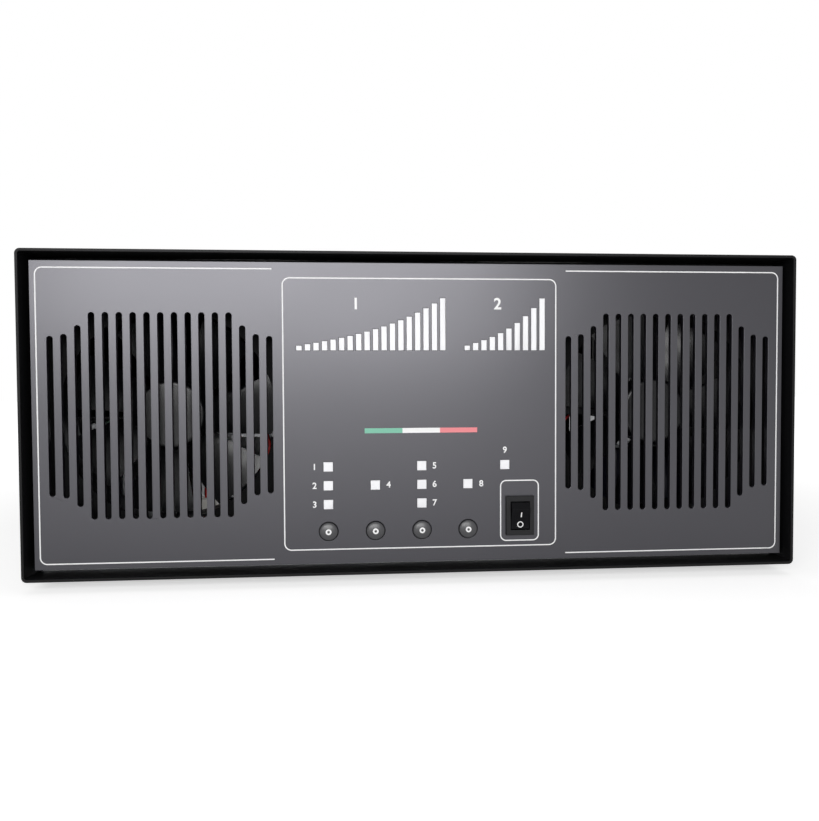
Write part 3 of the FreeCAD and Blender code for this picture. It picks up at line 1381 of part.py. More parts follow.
Y_SUPPLY = Y_FAN_BACK + D.supply_gap
CAN_RADIUS = ((MODULE_WIDTH - 2 * D.can_edge + D.can_gap) / D.can_columns - D.can_gap) / 2
CAN_PITCH = 2 * CAN_RADIUS + D.can_gap
CANS_BACK = D.can_front + D.can_rows * CAN_PITCH - D.can_gap
CHOKE_Y = D.supply_length - D.choke_back_gap - D.choke_outer
TRANSFORMER_Y = CHOKE_Y - D.choke_outer - D.transformer_gap - D.transformer_side / 2


def supply_capacitors():
    """Reservoir capacitors in a block."""
    cans = []
    for row in range(int(number(D.can_rows))):
        for index in range(int(number(D.can_columns))):
            spot = (FAN_X - MODULE_WIDTH / 2 + D.can_edge + CAN_RADIUS + index * CAN_PITCH,
                    Y_SUPPLY + D.can_front + CAN_RADIUS + row * CAN_PITCH, Z_ON_BOARDS)
            cans.append(cylinder("can", spot, CAN_RADIUS, D.can_height))
    group("supply_capacitors", cans)


def supply_transformer():
    """The switching transformer: a flat core frame round its winding."""
    body = new_body("supply_transformer", (FAN_X, Y_SUPPLY + TRANSFORMER_Y, Z_ON_BOARDS))
    core = new_sketch(body, "XY_Plane")
    draw_rectangle(core, 0, 0, D.transformer_side, D.transformer_core)
    pad(body, core, D.transformer_height)
    winding = new_sketch(body, "XY_Plane", D.transformer_cheek)
    draw_rectangle(winding, 0, 0, D.transformer_side - 2 * D.transformer_cheek,
                   D.transformer_side)
    pad(body, winding, D.transformer_height - 2 * D.transformer_cheek)
    keep(body, "supply_transformer")


def supply_choke():
    """The ring-shaped mains choke, lying flat."""
    keep(ring_core("supply_choke", (FAN_X, Y_SUPPLY + CHOKE_Y, Z_ON_BOARDS), "XZ_Plane",
                   D.choke_outer, D.choke_inner, D.choke_depth), "supply_choke")


def supply_coolers():
    """Two upright heatsink plates along the supply board's sides."""
    plates = []
    front = CANS_BACK + D.cooler_gap
    length = D.supply_length - D.cooler_back_gap - front
    for side in (-1, 1):
        x = FAN_X + side * (MODULE_WIDTH / 2 - D.cooler_inset - D.cooler_thick / 2)
        corner = (x - D.cooler_thick / 2, Y_SUPPLY + front, Z_ON_BOARDS)
        plates.append(box("cooler", corner, (D.cooler_thick, length, D.cooler_height)))
    group("supply_coolers", plates)


# ---------------------------------------------------------------- rear panel


def rf_places():
    return [(D.rf_x, D.rf_upper), (D.rf_x, D.rf_lower)]


def rf_screw_places():
    half = D.rf_screw_pitch / 2
    return [(x + across * half, z + up * half)
            for x, z in rf_places() for across in (-1, 1) for up in (-1, 1)]


def jack_places():
    return [(D.jack_x + D.jack_pitch * index, D.jack_z) for index in range(3)]


def inlet_screw_places():
    return [(D.inlet_x + side * D.inlet_screws / 2, D.inlet_z) for side in (-1, 1)]


def rear_panel():
    """The rear panel, with its vents and a hole for every connector."""
    body = upright_plate("rear_panel", Y_REAR_INSIDE, D.rear_thick)
    holes = new_sketch(body, "XZ_Plane")
    for x, z in rf_places():
        draw_circle(holes, x, z, D.rf_back + D.inlet_play)
    for x, z in rf_screw_places() + inlet_screw_places():
        draw_circle(holes, x, z, D.m3_hole)
    for x, z in jack_places():
        draw_circle(holes, x, z, D.jack_barrel + D.inlet_play)
    draw_circle(holes, D.fuse_x, D.fuse_z, D.fuse_body + D.inlet_play)
    draw_circle(holes, D.stud_x, D.stud_z, D.stud_radius + D.nut_play)
    draw_rectangle(holes, D.inlet_x, D.inlet_z, D.inlet_body_width + 2 * D.inlet_play,
                   D.inlet_body_height + 2 * D.inlet_play)
    pocket(body, holes)
    for side in (-1, 1):
        vent = new_sketch(body, "XZ_Plane")
        reach = (D.rear_vent_count - 1) / 2 * D.rear_vent_pitch
        draw_slot(vent, side * FAN_X - reach, 0, D.rear_vent_width, D.rear_vent_height)
        first = pocket(body, vent)
        repeat_along(body, [first], "X_Axis", D.rear_vent_pitch, D.rear_vent_count)
    keep(body, "rear_panel")


def rf_sockets():
    """Two coaxial sockets: a square flange, a barrel outside and a body inside."""
    shells, insulators, contacts = [], [], []
    for x, z in rf_places():
        body = new_body("rf_shell", (x, Y_REAR_FACE, Z_MID + z))
        flange = new_sketch(body, "XZ_Plane")
        draw_rectangle(flange, 0, 0, D.rf_flange, D.rf_flange)
        half = D.rf_screw_pitch / 2
        for across in (-1, 1):
            for up in (-1, 1):
                draw_circle(flange, across * half, up * half, D.m3_hole)
        pad(body, flange, D.rf_flange_thick)
        barrel = new_sketch(body, "XY_Plane")
        reach = D.rf_flange_thick + D.rf_barrel_length
        inner_end = -1 * D.rear_thick - D.rf_back_length
        draw_outline(barrel, [
            (0, inner_end), (D.rf_back, inner_end), (D.rf_back, 0),
            (D.rf_barrel, D.rf_flange_thick / 2), (D.rf_barrel, reach),
            (D.rf_bore, reach), (D.rf_bore, D.rf_flange_thick), (0, D.rf_flange_thick)])
        turn(body, barrel)
        shells.append(body)
        base = (x, Y_REAR_FACE + D.rf_flange_thick, Z_MID + z)
        depth = D.rf_barrel_length / 2
        disc = cylinder("rf_disc", base, D.rf_bore, depth, "y")
        hole = cylinder("rf_disc_hole", base, D.rf_contact, depth, "y")
        insulators.append(cut("rf_insulator", disc, hole))
        length = D.rf_barrel_length - D.rf_flange_thick / 2
        pin = cylinder("rf_pin", base, D.rf_contact, length, "y")
        bore_start = (x, Y_REAR_FACE + 2 * D.rf_flange_thick, Z_MID + z)
        bore = cylinder("rf_pin_bore", bore_start, D.rf_contact_bore, length, "y")
        contacts.append(cut("rf_contact", pin, bore))
    group("rf_sockets", shells)
    group("rf_insulators", insulators)
    group("rf_contacts", contacts)


def phono_jacks():
    """Three phono jacks for keying and control."""
    shells, insulators = [], []
    for x, z in jack_places():
        body = new_body("jack_shell", (x, Y_REAR_FACE, Z_MID + z))
        profile = new_sketch(body, "XY_Plane")
        back = -1 * D.rear_thick - D.jack_length / 2
        collar = D.washer_thick
        draw_outline(profile, [
            (D.jack_bore, back), (D.jack_barrel, back), (D.jack_barrel, 0), (D.jack_flange, 0),
            (D.jack_flange, collar), (D.jack_barrel, collar),
            (D.jack_barrel, collar + D.jack_length), (D.jack_bore, collar + D.jack_length)])
        turn(body, profile)
        shells.append(body)
        start = (x, Y_REAR_FACE - D.rear_thick - D.jack_length / 2, Z_MID + z)
        depth = D.rear_thick + D.jack_length
        plug = cylinder("jack_core", start, D.jack_bore, depth, "y")
        hole = cylinder("jack_hole", start, D.jack_contact, depth, "y")
        insulators.append(cut("jack_insulator", plug, hole))
    group("phono_jacks", shells)
    group("jack_insulators", insulators)


def mains_inlet():
    """The mains inlet: a flange, a body through the panel and a recess for the plug."""
    body = new_body("mains_inlet", (D.inlet_x, Y_REAR_FACE, Z_MID + D.inlet_z))
    flange = new_sketch(body, "XZ_Plane")
    draw_rectangle(flange, 0, 0, D.inlet_width, D.inlet_height)
    for side in (-1, 1):
        draw_circle(flange, side * D.inlet_screws / 2, 0, D.m3_hole)
    pad(body, flange, D.inlet_flange)
    back = new_sketch(body, "XZ_Plane")
    draw_rectangle(back, 0, 0, D.inlet_body_width, D.inlet_body_height)
    pad(body, back, D.inlet_body_depth, positive=False)
    mouth = new_sketch(body, "XZ_Plane", D.inlet_flange)
    wide, tall, bevel = D.inlet_mouth_width / 2, D.inlet_mouth_height / 2, D.inlet_mouth_bevel
    draw_outline(mouth, [
        (-1 * wide, -1 * tall), (wide, -1 * tall), (wide, tall - bevel), (wide - bevel, tall),
        (bevel - wide, tall), (-1 * wide, tall - bevel)])
    pocket(body, mouth, D.inlet_mouth_depth, positive=False)
    keep(body, "mains_inlet")
    prongs = []
    floor = Y_REAR_FACE + D.inlet_flange - D.inlet_mouth_depth
    spots = [(-1 * D.prong_pitch, -1 * D.prong_drop), (D.prong_pitch, -1 * D.prong_drop),
             (0, D.prong_rise)]
    for x, z in spots:
        corner = (D.inlet_x + x - D.prong_width / 2, floor,
                  Z_MID + D.inlet_z + z - D.prong_height / 2)
        prongs.append(box("prong", corner, (D.prong_width, D.prong_length, D.prong_height)))
    group("inlet_contacts", prongs)


def fuse_holder():
    """A panel fuse holder with a screwdriver slot in its cap."""
    body = new_body("fuse_holder", (D.fuse_x, Y_REAR_FACE, Z_MID + D.fuse_z))
    profile = new_sketch(body, "XY_Plane")
    cap_end = D.fuse_flange_thick + D.fuse_cap_length
    draw_outline(profile, [
        (0, -1 * D.fuse_length), (D.fuse_body, -1 * D.fuse_length), (D.fuse_body, 0),
        (D.fuse_flange, 0), (D.fuse_flange, D.fuse_flange_thick),
        (D.fuse_cap, D.fuse_flange_thick), (D.fuse_cap, cap_end), (0, cap_end)])
    turn(body, profile)
    slot = new_sketch(body, "XZ_Plane", cap_end)
    draw_rectangle(slot, 0, 0, 3 * D.fuse_cap, D.tab_thick * 2)
    pocket(body, slot, D.fuse_cap_length / 3, positive=False)
    keep(body, "fuse_holder")


def earth_terminal():
    """The earth stud with its washer and nuts."""
    stud = new_body("earth_stud", (D.stud_x, Y_REAR_FACE, Z_MID + D.stud_z))
    profile = new_sketch(stud, "XY_Plane")
    inner_end = -1 * D.rear_thick - D.stud_inside
    neck_start = D.washer_thick + D.nut_height
    neck_end = neck_start + D.stud_neck_width
    neck = D.stud_radius - D.stud_neck
    draw_outline(profile, [
        (0, inner_end), (D.stud_radius, inner_end), (D.stud_radius, neck_start),
        (neck, neck_start), (neck, neck_end), (D.stud_radius, neck_end),
        (D.stud_radius, D.stud_reach), (0, D.stud_reach)])
    turn(stud, profile)
    keep(stud, "earth_stud")
    bore_radius = D.stud_radius + D.nut_play
    washer_at = (D.stud_x, Y_REAR_FACE, Z_MID + D.stud_z)
    disc = cylinder("washer_disc", washer_at, D.washer_radius, D.washer_thick, "y")
    hole = cylinder("washer_hole", washer_at, bore_radius, D.washer_thick, "y")
    washer = cut("washer", disc, hole)
    nuts = []
    for y in (Y_REAR_FACE + D.washer_thick, Y_REAR_INSIDE - D.nut_height):
        prism = doc.addObject("Part::Prism", "nut_prism")
        prism.Polygon = 6
        prism.Circumradius = number(D.nut_across / 2) / math.cos(math.pi / 6)
        bind(prism, "Circumradius", D.nut_across / 2 / math.cos(math.pi / 6))
        prism.Height = number(D.nut_height)
        bind(prism, "Height", D.nut_height)
        prism.Placement.Rotation = AIMS["y"]
        place(prism, (D.stud_x, y, Z_MID + D.stud_z))
        hole = cylinder("nut_hole", (D.stud_x, y, Z_MID + D.stud_z), bore_radius,
                        D.nut_height, "y")
        nuts.append(cut("nut", prism, hole))
    group("earth_nuts", nuts + [washer])


def rear_screws():
    """Screws of the coaxial sockets and the mains inlet."""
    screws = []
    for places, seat in ((rf_screw_places(), D.rf_flange_thick),
                         (inlet_screw_places(), D.inlet_flange)):
        for x, z in places:
            screws.append(screw("rear_screw", (x, Y_REAR_FACE + seat, Z_MID + z), "y", True,
                                D.m3_radius, D.m3_head, D.m3_head_height, D.m3_length))
    group("rear_screws", screws)


# ---------------------------------------------------------------- leads

LEAD_BEND = 0.45  # share of the shorter run that the arc at a corner takes


def shifted(at, steps):
    """Points at steps (across, back, up) from a place."""
    return [tuple(base + part for base, part in zip(at, step)) for step in steps]


def lead_path(points):
    """Straight runs with a tangent arc at each corner, and the tightest arc's radius."""
    edges, start, tightest = [], points[0], math.inf
    for before, corner, after in zip(points, points[1:], points[2:]):
        back, onward = before - corner, after - corner
        reach = LEAD_BEND * min(back.Length, onward.Length)
        half_turn = (math.pi - back.getAngle(onward)) / 2
        radius = reach / math.tan(half_turn)
        tightest = min(tightest, radius)
        back.normalize()
        onward.normalize()
        inward = (back + onward).normalize()
        arc_start, arc_end = corner + back * reach, corner + onward * reach
        crest = corner + inward * (radius / math.cos(half_turn) - radius)
        edges.append(Part.LineSegment(start, arc_start).toShape())
        edges.append(Part.Arc(arc_start, crest, arc_end).toShape())
        start = arc_end
    edges.append(Part.LineSegment(start, points[-1]).toShape())
    return Part.Wire(edges), tightest


def lead(name, route, radius):
    """A round lead swept along its route."""
    points = [vector(point) for point in route]
    path, tightest = lead_path(points)
    spine = doc.addObject("Part::Feature", name + "_path")
    spine.Shape = path
    section = doc.addObject("Part::Circle", name + "_section")
    section.Radius = number(radius)
    bind(section, "Radius", radius)
    section.Placement = FreeCAD.Placement(
        points[0], FreeCAD.Rotation(FreeCAD.Vector(0, 0, 1), points[1] - points[0]))
    sweep = doc.addObject("Part::Sweep", name)
    sweep.Sections = [section]
    sweep.Spine = (spine, ["Edge%d" % (index + 1) for index in range(len(path.Edges))])
    sweep.Solid = True
    doc.recompute()
    expected = math.pi * number(radius) ** 2 * path.Length
    if abs(sweep.Shape.Volume - expected) > 0.01 * expected:
        raise RuntimeError("%s: its volume isn't its section times its length" % name)
    print("%-20s %4.0f long, tightest bend %4.1f" % (name, path.Length, tightest))
    return sweep


# Steps (across, back, up) of each route, from the place named beside them.
FROM_MOTOR = [(29, 8, 1), (42, 8, -3), (51.5, 8, -17), (47.5, 8.5, -33)]
TO_PLUG = [(17, -1, 11), (0, 0, 9)]
TO_SUPPLY = [(-6, -8, 23), (0, 0, 10)]
FROM_UPPER_SOCKET = [(0, -12, 0), (-4, -22, -15), (-8, -26, -41), (-6, -30, -69)]
FROM_LOWER_SOCKET = [(0, -11, 0), (7, -20, -11), (12, -27, -30)]
TO_FILTER = [(1, 7, 21), (0, 0, 10)]
FROM_INLET_TO_FUSE = [(0, -10, 0), (-2, -20, 9), (-1, -27, 25)]
TO_FUSE = [(-3, -12, -9), (0, -9, 0)]
FROM_FUSE = [(0, -10, 0), (9, -19, -6), (23, -25, -21), (38, -28, -38), (51, -29, -50)]
FROM_INLET = [(0, -11, 0), (9, -21, -3), (21, -30, -6), (33, -38, -7)]
FROM_SWITCH = [(0, 11, 0), (6, 23, -1), (16, 32, -3), (26, 39, -4)]
FROM_SUPPLY = [(0, 0, 13), (-12, -2, 25), (-36, -5, 29), (-64, -8, 23), (-94, -9, 19)]
TO_AMPLIFIER = [(60, -8, -44), (38, -5, -32), (25, -2, -8), (21, -1, 11), (15, 0, 21),
                (7, 0, 21.5), (0, 0, 13)]


def fan_leads():
    """Two leads from each fan's motor, round the duct and down to a plug or a board."""
    leads = []
    on_plug = (D.plug_inner - FAN_X, Y_SINK - D.plug_depth / 2,
               Z_MID - D.plug_drop + D.plug_height)
    on_board = (FAN_X - MODULE_WIDTH / 2 + D.lead_inset + D.lead_pitch * 2.5,
                Y_SUPPLY + D.can_front / 2, Z_ON_BOARDS)
    for side, end, down in ((-1, on_plug, TO_PLUG), (1, on_board, TO_SUPPLY)):
        motor = (side * FAN_X, Y_FAN_BACK, Z_FAN)
        for half in (-0.5 * D.fan_lead_spread, 0.5 * D.fan_lead_spread):
            exit_x = -1 * side * (D.motor_radius - D.bearing_radius)
            exit_y = D.strut_width + D.motor_base
            route = shifted(motor, [(exit_x, 0, half), (exit_x, exit_y, half)])
            route += shifted(motor, [(-side * x, y + half, z) for x, y, z in FROM_MOTOR])
            route += shifted(end, [(x, y + half, z) for x, y, z in down + [(0, 0, 0)]])
            leads.append(lead("fan_lead", route, D.fan_lead))
    group("fan_leads", leads)


def coax_leads():
    """A coaxial lead from each socket to the back of the filter board."""
    leads = []
    y_end = Y_FILTER + D.filter_length - 2 * D.stand_inset
    for z, x_end, down in ((D.rf_upper, D.rf_x, FROM_UPPER_SOCKET),
                           (D.rf_lower, D.rf_x + D.coax_spread, FROM_LOWER_SOCKET)):
        socket = (D.rf_x, Y_REAR_INSIDE - D.rf_back_length, Z_MID + z)
        end = (x_end, y_end, Z_ON_BOARDS)
        route = [socket] + shifted(socket, down) + shifted(end, TO_FILTER) + [end]
        leads.append(lead("coax_lead", route, D.coax_lead))
    group("coax_leads", leads)


def mains_leads():
    """From the inlet to the fuse, on to the supply board, and from there to the switch."""
    inlet_back = Y_REAR_FACE - D.inlet_body_depth
    prong_z = Z_MID + D.inlet_z - D.prong_drop
    live = (D.inlet_x - D.prong_pitch, inlet_back, prong_z)
    neutral = (D.inlet_x + D.prong_pitch, inlet_back, prong_z)
    fuse_in = (D.fuse_x - D.fuse_tag, Y_REAR_FACE - D.fuse_length, Z_MID + D.fuse_z)
    fuse_out = (D.fuse_x + D.fuse_tag, Y_REAR_FACE - D.fuse_length, Z_MID + D.fuse_z)
    board_x = FAN_X - MODULE_WIDTH / 2 + D.lead_inset
    board_back = Y_SUPPLY + D.supply_length - D.lead_inset
    neutral_end = (board_x, board_back, Z_ON_BOARDS)
    live_end = (board_x + D.lead_pitch * 1.5, board_back, Z_ON_BOARDS)
    upright = [(0, 0, 14), (0, 0, 0)]
    leads = [
        lead("fuse_lead", [live] + shifted(live, FROM_INLET_TO_FUSE)
             + shifted(fuse_in, TO_FUSE) + [fuse_in], D.mains_lead),
        lead("live_lead", [fuse_out] + shifted(fuse_out, FROM_FUSE)
             + shifted(live_end, upright), D.mains_lead),
        lead("neutral_lead", [neutral] + shifted(neutral, FROM_INLET)
             + shifted(neutral_end, upright), D.mains_lead)]
    tab_end = Y_PANEL + D.switch_body_depth + D.tab_length
    tab_z = Z_MID + SWITCH_Z + D.switch_body_height / 4
    for index, across in enumerate((-1, 1)):
        tab = (SWITCH_X + across * D.switch_body_width / 4, tab_end, tab_z)
        end = (board_x + D.lead_pitch * index, Y_SUPPLY + D.can_front / 2, Z_ON_BOARDS)
        leads.append(lead("switch_lead", [tab] + shifted(tab, FROM_SWITCH)
                          + shifted(end, upright), D.mains_lead))
    group("mains_leads", leads)


def supply_leads():
    """Two leads from the supply board across the chassis to the amplifier board."""
    leads = []
    supply_x = FAN_X - MODULE_WIDTH / 2 + D.lead_inset
    board_edge = MODULE_WIDTH / 2 - FAN_X - D.amp_board_inset
    for half in (-0.5 * D.supply_lead_spread, 0.5 * D.supply_lead_spread):
        y = Y_SUPPLY + D.supply_lead_place + half
        start = (supply_x, y, Z_ON_BOARDS)
        end = (board_edge - D.lead_pitch * 2, y, Z_AMP_BOARD)
        leads.append(lead("supply_lead", [start] + shifted(start, FROM_SUPPLY)
                          + shifted(end, TO_AMPLIFIER) + [end], D.supply_lead))
    group("supply_leads", leads)


# ---------------------------------------------------------------- the whole amplifier


def build():
    case_sleeve()
    chassis_pan()
    front_bulkhead()
    chassis_rails()
    case_screws()
    rubber_feet()
    front_panel()
    lenses()
    buttons()
    rocker_housing()
    power_rocker()
    switch_terminals()
    control_board()
    board_posts()
    key_switches()
    board_leds()
    panel_spacers()
    for side, word in ((-1, "left"), (1, "right")):
        fan_frame(side, word + "_fan_frame")
        fan_rotor(side, word + "_fan_rotor")
    fan_stators()
    fan_screws()
    heatsink()
    amplifier_board()
    power_transistors()
    ferrite_core("output_transformer", CORE_START, D.core_length, D.core_width, D.core_height,
                 D.core_bore)
    ferrite_core("input_transformer", D.driver_y, D.driver_core_length, D.driver_core_width,
                 D.driver_core_height, D.driver_bore)
    white_plugs()
    posts = flat_board("filter_board", 0, Y_FILTER, D.filter_width, D.filter_length)
    posts += flat_board("supply_board", FAN_X, Y_SUPPLY, MODULE_WIDTH,
                        D.supply_length)
    group("inner_posts", posts)
    filter_coils()
    filter_relays()
    supply_capacitors()
    supply_transformer()
    supply_choke()
    supply_coolers()
    rear_panel()
    rf_sockets()
    phono_jacks()
    mains_inlet()
    fuse_holder()
    earth_terminal()
    rear_screws()
    fan_leads()
    coax_leads()
    mains_leads()
    supply_leads()


def check():
    """Stops with a message if any feature or sub-part is not sound."""
    for feature in doc.Objects:
        if "Invalid" in feature.State or "Error" in feature.State:
            raise RuntimeError("%s (%s) failed" % (feature.Name, feature.TypeId))
    for node in NODES:
        if node.Shape.isNull() or not node.Shape.isValid() or not node.Shape.Solids:
            raise RuntimeError("%s has no sound shape" % node.Label)


def export():
    os.makedirs("parts", exist_ok=True)
    for node in NODES:
        node.Shape.exportStep("parts/%s.step" % node.Label)
        print("%-20s %2d solids" % (node.Label, len(node.Shape.Solids)))


build()
doc.recompute()
check()
export()
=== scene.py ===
"""Looks of an HF linear amplifier: finishes, printed lines, small fittings and a stage.

The frame holds every piece at its place.  Each operator below dresses one group of
pieces; the sidebar panel lists them in the order in which they run.
"""

import math

import bmesh
import bpy
from bpy.props import FloatProperty, FloatVectorProperty, IntProperty, PointerProperty
from bpy.types import Operator, Panel, PropertyGroup
from mathutils import Matrix, Vector
from mathutils.bvhtree import BVHTree


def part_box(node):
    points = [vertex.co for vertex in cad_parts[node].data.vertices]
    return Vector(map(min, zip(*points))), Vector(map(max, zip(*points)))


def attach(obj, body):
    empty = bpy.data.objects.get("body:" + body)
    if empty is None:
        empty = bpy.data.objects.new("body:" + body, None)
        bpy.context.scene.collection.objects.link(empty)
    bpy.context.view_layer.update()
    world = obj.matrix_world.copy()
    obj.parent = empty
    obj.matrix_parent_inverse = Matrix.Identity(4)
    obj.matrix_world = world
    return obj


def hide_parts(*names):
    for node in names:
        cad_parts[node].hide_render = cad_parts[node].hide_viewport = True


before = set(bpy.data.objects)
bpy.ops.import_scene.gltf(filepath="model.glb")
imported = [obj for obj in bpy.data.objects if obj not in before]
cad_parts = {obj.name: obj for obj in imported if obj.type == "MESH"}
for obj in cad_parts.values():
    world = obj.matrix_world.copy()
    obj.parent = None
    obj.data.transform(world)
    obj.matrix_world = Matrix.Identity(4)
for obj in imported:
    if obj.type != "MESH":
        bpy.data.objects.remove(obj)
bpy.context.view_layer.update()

bl_info = {
    "name": "Linear amplifier looks",
    "version": (1, 0, 0),
    "blender": (4, 5, 0),
    "location": "3D View > Sidebar > Amplifier",
    "description": "Finishes and small fittings of an HF linear amplifier",
    "category": "Object",
}

MM = 0.001
SHARP = math.radians(35)
CHASSIS = "chassis"
NO_TURN = Matrix.Identity(4)
AIM_FRONT, AIM_BACK, AIM_DOWN = (Matrix.Rotation(math.radians(angle), 4, "X")
                                 for angle in (90, -90, 180))
AIM_LEFT, AIM_RIGHT = (Matrix.Rotation(math.radians(angle), 4, "Y") for angle in (-90, 90))


def mm(*values):
    """Millimetres turned into metres."""
    return tuple(value * MM for value in values)


def set_up(thing, **settings):
    """Gives a thing its settings, by their names."""
    for name, value in settings.items():
        setattr(thing, name, value)
    return thing


def midpoint(low, high, **stated):
    """The middle between two corners, with any x, y or z that is stated instead."""
    return set_up((low + high) / 2, **stated)


PANEL_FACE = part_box("front_panel")[0].y
PANEL_MIDDLE = midpoint(*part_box("front_panel")).z


def on_panel(x, z):
    """A place on the front panel's face, from millimetres across and up its middle."""
    return Matrix.Translation((x * MM, PANEL_FACE, PANEL_MIDDLE + z * MM)) @ AIM_FRONT


# ---------------- what a user sets


def a_colour(label, words, value):
    return FloatVectorProperty(name=label, description=words, subtype="COLOR", default=value,
                               min=0.0, max=1.0)


def a_length(label, words, value, least, most):
    """A length, stated in millimetres."""
    return FloatProperty(name=label, description=words, unit="LENGTH", default=value * MM,
                         min=least * MM, max=most * MM)


class AmplifierColours(PropertyGroup):
    panel: a_colour("Panel", "Paint of the front panel", (0.006, 0.0058, 0.008))
    case: a_colour("Case", "Paint of the sleeve and rear panel", (0.0045, 0.0045, 0.005))
    ink: a_colour("Ink", "Printed lines and figures", (0.8, 0.8, 0.8))
    stripe_left: a_colour("Stripe, left", "Left third of the stripe", (0.15, 0.42, 0.3))
    stripe_right: a_colour("Stripe, right", "Right third of the stripe", (0.7, 0.2, 0.22))
    window: a_colour("Windows", "Milky windows of the meters", (0.82, 0.82, 0.84))
    button: a_colour("Buttons", "Caps of the push buttons", (0.03, 0.03, 0.033))
    switch: a_colour("Switch", "Rocker of the mains switch", (0.004, 0.004, 0.005))
    fan: a_colour("Fans", "Fan frames and rotors", (0.004, 0.004, 0.005))
    board: a_colour("Boards", "Solder mask of the boards", (0.012, 0.085, 0.035))


class AmplifierSizes(PropertyGroup):
    line_width: a_length("Line width", "Printed lines on the panel", 0.62, 0.2, 3)
    ink_height: a_length("Ink height", "How far the print stands up", 0.06, 0.01, 0.5)
    soft_edge: a_length("Soft edge", "Rounding of sheet-metal edges", 0.25, 0.02, 1)
    figure_height: a_length("Figures", "Height of the small figures", 3.4, 1, 10)
    coil_turns: IntProperty(name="Coil turns", description="Turns of wire on a filter coil",
                            default=18, min=6, max=24)


def sizes():
    return bpy.context.scene.amplifier_sizes


# ---------------- finishes


UNEVEN = dict(wander=0.05)


def metal(wander, **more):
    return dict(metallic=1.0, wander=wander, **more)


# The slot, the colour or the name of one that a user sets, the roughness, and the rest.
FINISHES = {
    "satin panel paint": ("panel_paint", "panel", 0.33, dict(
        grain=(0.35, 0.004), wander=0.02, specular=0.82, tint=(0.94, 0.93, 1.0))),
    "fine-textured case paint": ("case_paint", "case", 0.46, dict(
        grain=(0.5, 0.02), wander=0.04, specular=0.14)),
    "matt inner paint": ("chassis_black", "case", 0.7, dict(specular=0.15)),
    "white ink": (None, "ink", 0.7, dict(specular=0.1)),
    "green ink": (None, "stripe_left", 0.5, {}),
    "red ink": (None, "stripe_right", 0.5, {}),
    "milky plastic": ("meter_window", "window", 0.5, dict(specular=0.1)),
    "satin button plastic": ("button_grey", "button", 0.36, dict(specular=0.6)),
    "black plastic": ("switch_black", "switch", 0.3, dict(specular=0.06)),
    "textured bezel plastic": ("switch_black", (0.011, 0.011, 0.012), 0.5, dict(
        grain=(0.3, 0.01), specular=0.17)),
    "black fan plastic": ("fan_black", "fan", 0.42, dict(specular=0.16)),
    "glossy rotor plastic": ("fan_gloss", "fan", 0.24, {}),
    "white plastic": ("insulator_white", (0.8, 0.79, 0.74), 0.42, {}),
    "dull black plastic": ("chip_black", (0.02, 0.02, 0.021), 0.55, {}),
    "green solder mask": ("board_green", "board", 0.3, UNEVEN),
    "zinc-plated steel": ("screw_steel", (0.6, 0.6, 0.62), 0.32, metal(0.06)),
    "blackened steel": ("screw_black", (0.035, 0.035, 0.037), 0.38, dict(metallic=0.4)),
    "galvanised sheet": ("sheet_metal", (0.58, 0.59, 0.6), 0.36, metal(0.1)),
    "drawn aluminium": ("sink_aluminium", (0.66, 0.67, 0.69), 0.38, metal(
        0.05, grain=(0.3, 0.01), stretch=(1.0, 0.03, 1.0))),
    "nickel plate": ("connector_nickel", (0.74, 0.72, 0.68), 0.22, metal(0.04)),
    "tinned metal": ("contact_brass", (0.7, 0.7, 0.72), 0.3, metal(0.05)),
    "brass": ("contact_brass", (0.72, 0.52, 0.22), 0.28, metal(0.05)),
    "gold plate": ("contact_brass", (0.83, 0.6, 0.22), 0.25, metal(0.04)),
    "enamelled copper": ("winding_copper", (0.62, 0.2, 0.07), 0.24, metal(0.05)),
    "black rubber": ("foot_rubber", (0.018, 0.018, 0.018), 0.75, dict(grain=(0.6, 0.02))),
    "ferrite": ("ferrite", (0.055, 0.055, 0.06), 0.6, dict(grain=(0.8, 0.03))),
    "painted iron powder": ("ferrite", (0.42, 0.03, 0.02), 0.45, dict(grain=(0.5, 0.02))),
    "white ceramic": ("ceramic_cap", (0.82, 0.8, 0.74), 0.4, {}),
    "tan ceramic": ("ceramic_cap", (0.36, 0.24, 0.13), 0.45, {}),
    "capacitor sleeve": ("can_black", (0.012, 0.014, 0.032), 0.3, dict(wander=0.04)),
    "dipped capacitor": ("chip_black", (0.2, 0.055, 0.02), 0.28, UNEVEN),
    "amber tape": ("tape_yellow", (0.66, 0.4, 0.05), 0.3, {}),
    "blue relay case": ("relay_blue", (0.02, 0.07, 0.25), 0.28, {}),
    "red sleeving": ("lead_red", (0.5, 0.012, 0.01), 0.4, UNEVEN),
    "black sleeving": ("lead_black", (0.01, 0.01, 0.011), 0.4, UNEVEN),
    "brown sleeving": ("lead_brown", (0.11, 0.04, 0.018), 0.4, UNEVEN),
    "blue sleeving": ("lead_brown", (0.015, 0.06, 0.33), 0.4, UNEVEN),
    "pale floor": (None, (0.9, 0.9, 0.9), 0.9, dict(specular=0.0)),
}


def fill(node, **inputs):
    """Sets a shader node's inputs; an underscore stands for a space in their names."""
    for socket, value in inputs.items():
        node.inputs[socket.replace("_", " ")].default_value = value
    return node


def add_node(tree, kind, operation=None, **inputs):
    node = fill(tree.nodes.new("ShaderNode" + kind), **inputs)
    if operation:
        node.operation = operation
    return node


def join(source, output, target, socket):
    """Links an output of one shader node to an input of another."""
    target.id_data.links.new(source.outputs[output], target.inputs[socket])


def finish(name):
    """The material of that name, made when a piece first needs it."""
    if name in bpy.data.materials:
        return bpy.data.materials[name]
    colour, roughness, more = FINISHES[name][1:]
    if isinstance(colour, str):
        colour = getattr(bpy.context.scene.amplifier_colours, colour)
    return make_finish(name, (*colour, 1.0), roughness, **more)


